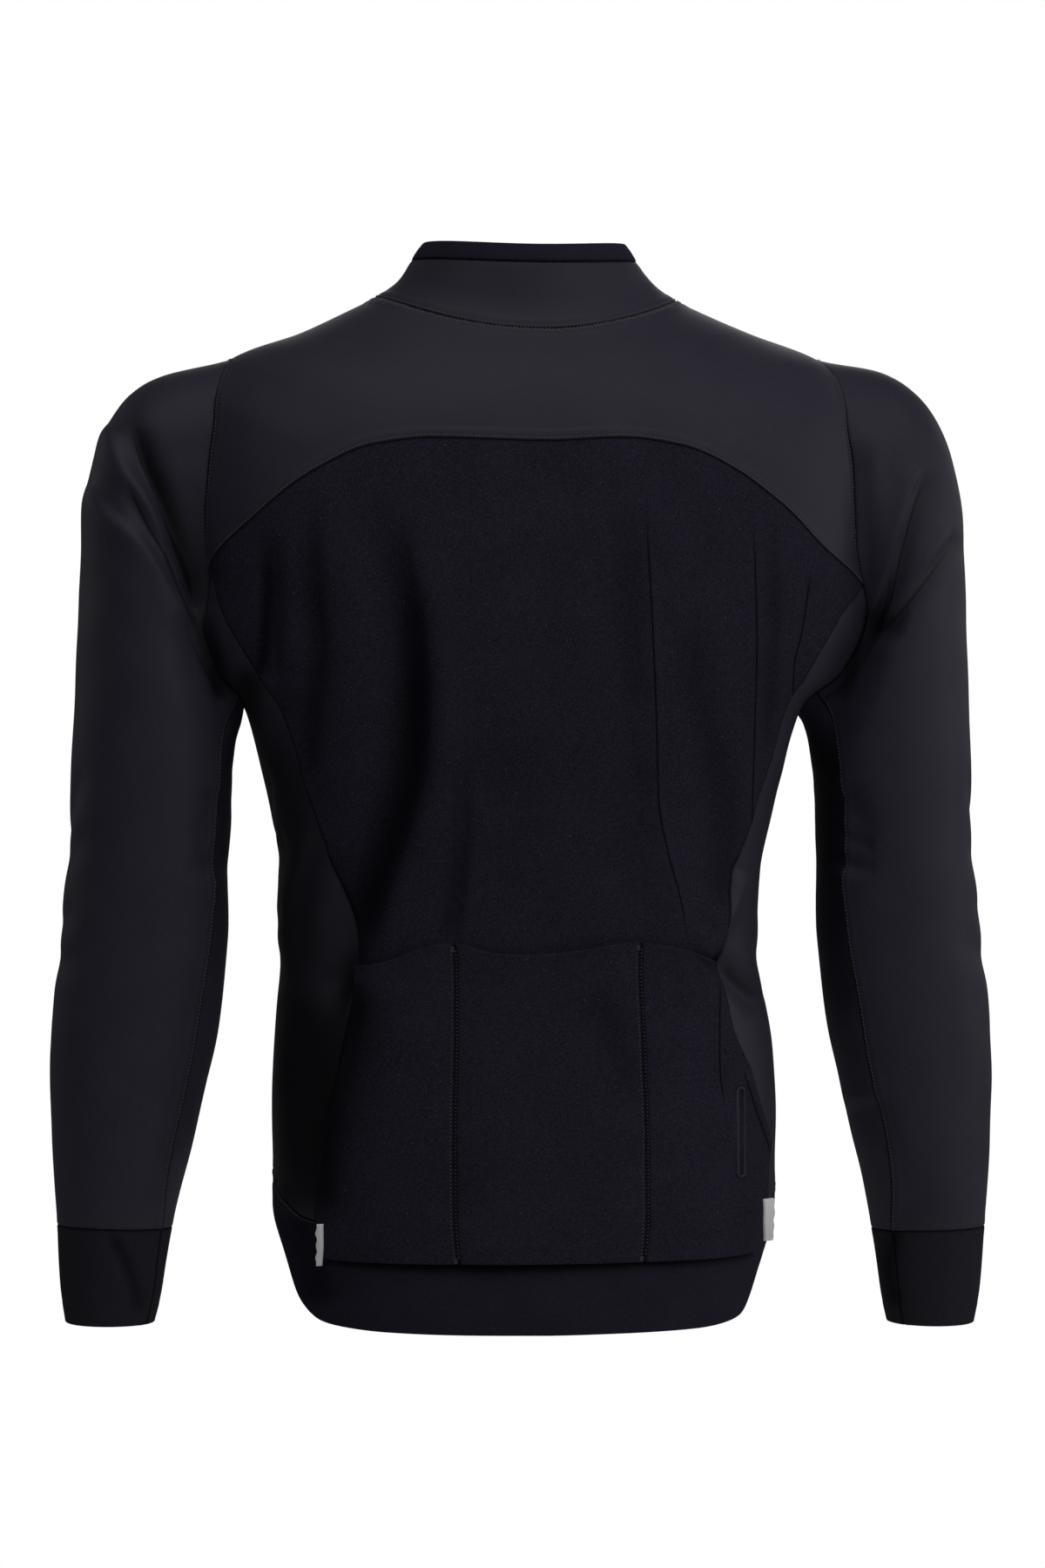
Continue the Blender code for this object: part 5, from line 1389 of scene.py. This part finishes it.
for key in pieces:
    if key not in ("pocket_panel", "hem_band"):
        markCreases(key)
pocketTurns = pieces["pocket_panel"]["plan"]
pocketHeights = ringHeight(bodyRings, pocketTurns[..., 0], pocketTurns[..., 1])
# painted shade: a thin dark line beside each seam between two pockets, where the cloth dips
divider = {"turn": 0.45, "width": 0.6}  # a dark line beside each seam between two pockets
markCreases("pocket_panel", [
    ((pocketTurns[..., 0] - seamTurn(pocket[key], pocketHeights) - divider["turn"]).ravel()
     * perDegree * divider["width"], 1.0)
    for key in pocketSeams])

# Painted shade on the hem band under the pocket panel's lower edge, deepest left of the middle
undercutShade = {"strength": 0.97, "reach": 0.0035, "deepest": -14, "spread": 22}
bandTurns = pieces["hem_band"]["plan"][..., 0]
edge = np.interp(bandTurns, pocketTurns[-1, :, 0], pocketHeights[-1])
below = np.clip(edge - ringHeight(bodyRings, bandTurns, pieces["hem_band"]["plan"][..., 1]), 0, None)
deepest = np.exp(-(((bandTurns - undercutShade["deepest"]) / undercutShade["spread"]) ** 2))
reach = undercutShade["reach"] * (1 + deepest)
under = (bandTurns > pocketTurns[-1, 0, 0] + 1) & (bandTurns < pocketTurns[-1, -1, 0] - 1)
markCreases("hem_band", undercutShade=undercutShade["strength"] * np.exp(-((below / reach) ** 2)) * under)

# Two rows of dots down each seam between two pockets, with a bartack of close threads at each end
rows = []
for key in pocketSeams:
    line = np.array(pocket[key])
    top, bottom = line[0, 1] - 0.002, line[-1, 1]
    z = np.linspace(top, bottom, 90)
    for shift in (-0.55, 0.55):
        rows.append((*onPocket(seamTurn(line, z) + shift, z), *dividerThread))
    for end in (top, bottom - 0.001):
        turns = seamTurn(line, end) + np.linspace(-0.9, 0.9, 7)
        for step in np.linspace(-0.0013, 0.0013, 5):
            rows.append((*onPocket(turns, np.full(7, end + step)), *bartackThread))
stitches("stitches_pockets", "knitThread", rows)
sewnEdges("stitches_hem", "knitThread", {"hem_band": "top"})
print("stitches ready")

welt = {
    "length": 0.059, "width": 0.0064, "rim": 0.0016, "height": 0.0013,
    "centre": (47.8, -0.5405),  # turn and height
    "lean": 0.03,
    "clear": 0.0002,  # above the cloth
    "teeth": 43,
    "toothReach": 0.0009, "toothStagger": 0.0005, "toothSlant": 0.25, "toothRadius": 0.00042,
}


def weltPlace(across, up):
    turn, z = welt["centre"]
    return onPocket(turn + across / perDegree, z + up)


def ringMesh(name, grid):
    # a tube from closed rings of points, its last ring joined to its first
    number = np.pad(np.arange(grid[..., 0].size).reshape(grid.shape[:2]), (0, 1), "wrap")
    return meshFrom(name, grid.reshape(-1, 3), gridFaces(number))


def armholeAllowance(side, depth=0.0016, radius=0.0015):
    # the turned-in edges of the cloth, a soft cord inside the armhole's seam
    plan = armhole(side, np.linspace(-60, 300, 241)[:-1])
    out = bodyNormals(plan)
    centre = bodyPoints(plan) - out * depth
    along = unit(np.roll(centre, -1, 0) - np.roll(centre, 1, 0))
    aside = unit(np.cross(along, out))
    turn = np.linspace(0, 2 * math.pi, 9)[:-1, None, None]
    grid = centre + radius * (np.cos(turn) * out + np.sin(turn) * aside)
    name = "armhole_allowance_" + sideName(side)
    addPiece(name, ringMesh(name, np.moveaxis(grid, 0, 1)), "shell")


for side in (-1, 1):
    armholeAllowance(side)


def weltRing():
    # a round-ended loop swept by a half-round profile
    loop, around = np.linspace(0, 2 * math.pi, 73)[:-1], np.linspace(0, math.pi, 7)
    straight, mid = (welt["length"] - welt["width"]) / 2, (welt["width"] - welt["rim"]) / 2
    layers = []
    for angle in around:
        radius = mid + welt["rim"] / 2 * math.cos(angle)
        up = np.sin(loop) * radius + np.where(loop < math.pi, straight, -straight)
        point, out = weltPlace(np.cos(loop) * radius + welt["lean"] * up, up)
        layers.append(point + out * (welt["clear"] + welt["height"] * math.sin(angle)))
    mesh = ringMesh("pocket_zip_rim", np.stack(layers, 1))
    addPiece("pocket_zip_rim", mesh, "shell", ["pocket_zip_welt"])


def teeth(name, node, centres, out, across, radius):
    # one thread for each tooth, as long as `across` reaches to both sides of its centre
    width = 2 * np.linalg.norm(across[0] * (1, 1, 0))
    rows = [
        (centre + np.linspace(-1, 1, 5)[:, None] * reach, outwards[[0] * 5], width + 0.0001, width, radius)
        for centre, reach, outwards in zip(centres, across, out[:, None])
    ]
    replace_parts(stitches(name, "coil", rows), node)


weltRing()
odd = np.arange(welt["teeth"]) % 2
up = (welt["length"] - welt["width"]) / 2 * np.linspace(1, -1, welt["teeth"])
way = 2 * odd - 1
tooth, out = weltPlace(welt["lean"] * up + welt["toothStagger"] * way, up)
across = welt["toothReach"] * np.stack([odd * 0 + 1, odd * 0, welt["toothSlant"] * way], -1)
centre = tooth + out * welt["clear"]
teeth("pocket_zip_teeth", "pocket_zip_coil", centre, out, across, welt["toothRadius"])

tabs = {"lift": 0.0031, "flare": 0.0015, "wall": 0.0012}
tabLine = table(
    "leftZ leftInner* leftOuter* rightZ rightInner* rightOuter*",
    (-597.5, 52.4, 54, -585.5, 57.2, 62),
    (-611, 53.6, 55.2, -599, 58, 62.8),
    (-624.5, 55.8, 57.3, -612.5, 61.2, 66),
)
for side in (-1, 1):
    name = sideName(side)
    stops = np.linspace(0, 2, 41)
    z, innerTurn, outerTurn = (column(tabLine, name + key, stops) for key in ("Z", "Inner", "Outer"))
    across = np.linspace(0, 1, 13)
    wavy = 0.25 * np.sin(stops * 11) * side
    turn = side * (innerTurn[:, None] + (outerTurn - innerTurn + wavy)[:, None] * across)
    plan = mirrored(side, place(turn, z[:, None]))

    def tabLift(plan, v, u, side=side):
        share = u / u[:, -1:]
        return tabs["wall"] + tabs["lift"] + tabs["flare"] * (share if side > 0 else 1 - share)

    sew("reflective_tab_" + name, plan, bodyPoints, "free", "reflective",
        cell=(0.001, 0.0008), wall=tabs["wall"], lift=tabLift)
print("trims ready")

# The front zip follows the centre line of the collar, the fronts and the hem band
zipParts = {
    "tapeHalfWidth": 0.0105, "innerEdge": 0.0003, "tapeDepth": 0.0032, "tapeWall": 0.001,
    "firstTooth": 0.0115, "lastTooth": 0.002, "toothPitch": 0.00165, "toothDepth": -0.0017,
    "toothReach": 0.0018, "toothStagger": 0.0004, "toothRadius": 0.00055,
}


def centreLine():
    sections = joined(np.linspace(3, 2, 9), np.linspace(2, 0, 25))
    collarPart = ringPoint(collarRings, np.full(sections.shape, 180.0), sections)
    down = np.linspace(0, bodySection(180.0, hemLine["edgeZ"][-1]), 300)
    line = joined(collarPart, bodyPoints(np.stack([np.full(len(down), 180.0), down], -1)))
    line[:, 0] = 0
    return line


zipLine = centreLine()
zipOut = unit(np.cross(np.gradient(zipLine, axis=0), np.array([-1.0, 0, 0])))
for side in (-1, 1):
    name = "zip_tape_" + sideName(side)
    low, high = sorted((side * zipParts["innerEdge"], side * zipParts["tapeHalfWidth"]))
    aside = np.linspace(high, low, 7)[None, :, None] * (1, 0, 0)
    grid = zipLine[:, None] + aside - zipOut[:, None] * zipParts["tapeDepth"]
    plan = np.stack(np.broadcast_arrays(np.arange(len(zipLine))[:, None] * 1.0, np.arange(7)[None] * 1.0), -1)

    def tapeSurface(plan, grid=grid):
        i, j = np.clip(plan[..., 0], 0, len(grid) - 1.001), np.clip(plan[..., 1], 0, 5.999)
        a, b = i.astype(int), j.astype(int)
        f, g = (i - a)[..., None], (j - b)[..., None]
        top = grid[a, b] * (1 - g) + grid[a, b + 1] * g
        return top * (1 - f) + (grid[a + 1, b] * (1 - g) + grid[a + 1, b + 1] * g) * f

    sew(name, plan, tapeSurface, "plain", "tape", cell=(0.003, 0.002), wall=zipParts["tapeWall"])

run = lengthsAlong(zipLine, 0)
at = np.arange(zipParts["firstTooth"], run[-1] - zipParts["lastTooth"], zipParts["toothPitch"])
out = unit(readAt(at, run, zipOut))
centre = readAt(at, run, zipLine) + out * zipParts["toothDepth"]
centre[:, 0] += zipParts["toothStagger"] * (2 * (np.arange(len(at)) % 2) - 1)
across = np.tile([zipParts["toothReach"], 0, 0], (len(at), 1))
teeth("front_zip_teeth", "zip_coil", centre, out, across, zipParts["toothRadius"])


def hardware(name, node, body, bevel):
    # a copy of the CAD piece with its doubles merged and its edges rounded
    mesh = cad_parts[node].data.copy()
    mesh.materials.clear()
    mesh.name = name
    thing = addPiece(name, mesh, "metal", [node], body, 180)
    weld = thing.modifiers.new("merge", "WELD")
    weld.merge_threshold = 0.00001
    rounding = thing.modifiers.new("round", "BEVEL")
    rounding.width, rounding.segments, rounding.limit_method = bevel, 3, "ANGLE"


hardware("zip_slider", "slider", jacket, 0.0004)
hardware("zip_pull", "pull_tab", pull, 0.0003)
print("zip ready")

# Every piece of cloth, cut flat: width, length, area and what carries it; * is left, then right
cuts = {
    "yoke": (0.47, 0.24, 0.075, "collar"),
    "back_panel": (0.40, 0.54, 0.16, "yoke"),
    "side_panel_*": (0.20, 0.42, 0.045, "yoke"),
    "front_*": (0.24, 0.62, 0.10, "yoke"),
    "hem_band": (0.90, 0.08, 0.04, "back_panel"),
    "pocket_panel": (0.36, 0.22, 0.07, "back_panel"),
    "collar": (0.52, 0.06, 0.025, "yoke"),
    "collar_binding": (0.42, 0.02, 0.006, "collar"),
    "sleeve_upper_*": (0.34, 0.60, 0.15, "yoke"),
    "sleeve_under_*": (0.12, 0.40, 0.03, "side_panel_*"),
    "cuff_*": (0.23, 0.068, 0.015, "sleeve_upper_*"),
    "reflective_tab_left": (0.0105, 0.029, 0.00018, "pocket_panel"),
    "reflective_tab_right": (0.013, 0.031, 0.00039, "pocket_panel"),
    "zip_tape_*": (0.011, 0.70, 0.0077, "front_*"),
}
for key, (width, length, area, carrier) in cuts.items():
    for side in ("left", "right") if "*" in key else ("",):
        piece, below = (pieces[name.replace("*", side)]["object"] for name in (key, carrier))

world = bpy.data.worlds.new("studio")
bpy.context.scene.world = world
world.use_nodes = True
tree = world.node_tree
background = tree.nodes["Background"]
background.inputs["Color"].default_value = (1, 1, 1, 1)
background.inputs["Strength"].default_value = studio["ambient"]
white = tree.nodes.new("ShaderNodeBackground")
white.inputs["Color"].default_value = (1, 1, 1, 1)
chosen, path = tree.nodes.new("ShaderNodeMixShader"), tree.nodes.new("ShaderNodeLightPath")
tree.links.new(path.outputs["Is Camera Ray"], chosen.inputs[0])
tree.links.new(background.outputs[0], chosen.inputs[1])
tree.links.new(white.outputs[0], chosen.inputs[2])
tree.links.new(chosen.outputs[0], tree.nodes["World Output"].inputs[0])


def aimed(thing, place, target):
    thing.location = place
    direction = np.array(target, float) - np.array(place, float)
    flat = math.hypot(direction[0], direction[1])
    thing.rotation_euler = (math.atan2(flat, -direction[2]), 0, math.atan2(-direction[0], direction[1]))
    bpy.context.scene.collection.objects.link(thing)
    return thing


for name, (spot, size, power) in studio["lamps"].items():
    lamp = bpy.data.lights.new(name, "AREA")
    lamp.shape, lamp.size, lamp.energy = "SQUARE", size, power
    aimed(bpy.data.objects.new(name, lamp), spot, studio["aim"])

turn = np.linspace(0, 2 * math.pi, 65)[:-1]
floorEdge = np.stack([np.cos(turn), np.sin(turn), 0 * turn], -1) * studio["floorRadius"]
floorEdge[:, 2] = studio["floorLevel"]
floorMesh = bpy.data.meshes.new("floor")
floorMesh.from_pydata(floorEdge.tolist(), [], [list(range(64))])
floorLook = Finish("paleFloor")
floorColour = floorLook.mix(floorLook.noise(3.0), (0.80, 0.80, 0.80), (0.84, 0.84, 0.84))
floorMesh.materials.append(floorLook.surface(floorColour, 0.8))
floor = bpy.data.objects.new("floor", floorMesh)
bpy.context.scene.collection.objects.link(floor)

lens = bpy.data.cameras.new("camera")
lens.lens, lens.sensor_width, lens.sensor_fit = camera["lens"], 36.0, "AUTO"
lens.clip_start, lens.clip_end = 0.1, 50
angle = math.radians(camera["azimuth"])
stand = np.array(camera["target"]) + camera["distance"] * np.array([math.sin(angle), -math.cos(angle), 0])
bpy.context.scene.camera = aimed(bpy.data.objects.new("camera", lens), stand, camera["target"])
bpy.context.scene.view_settings.view_transform = "Standard"

print("scene ready")
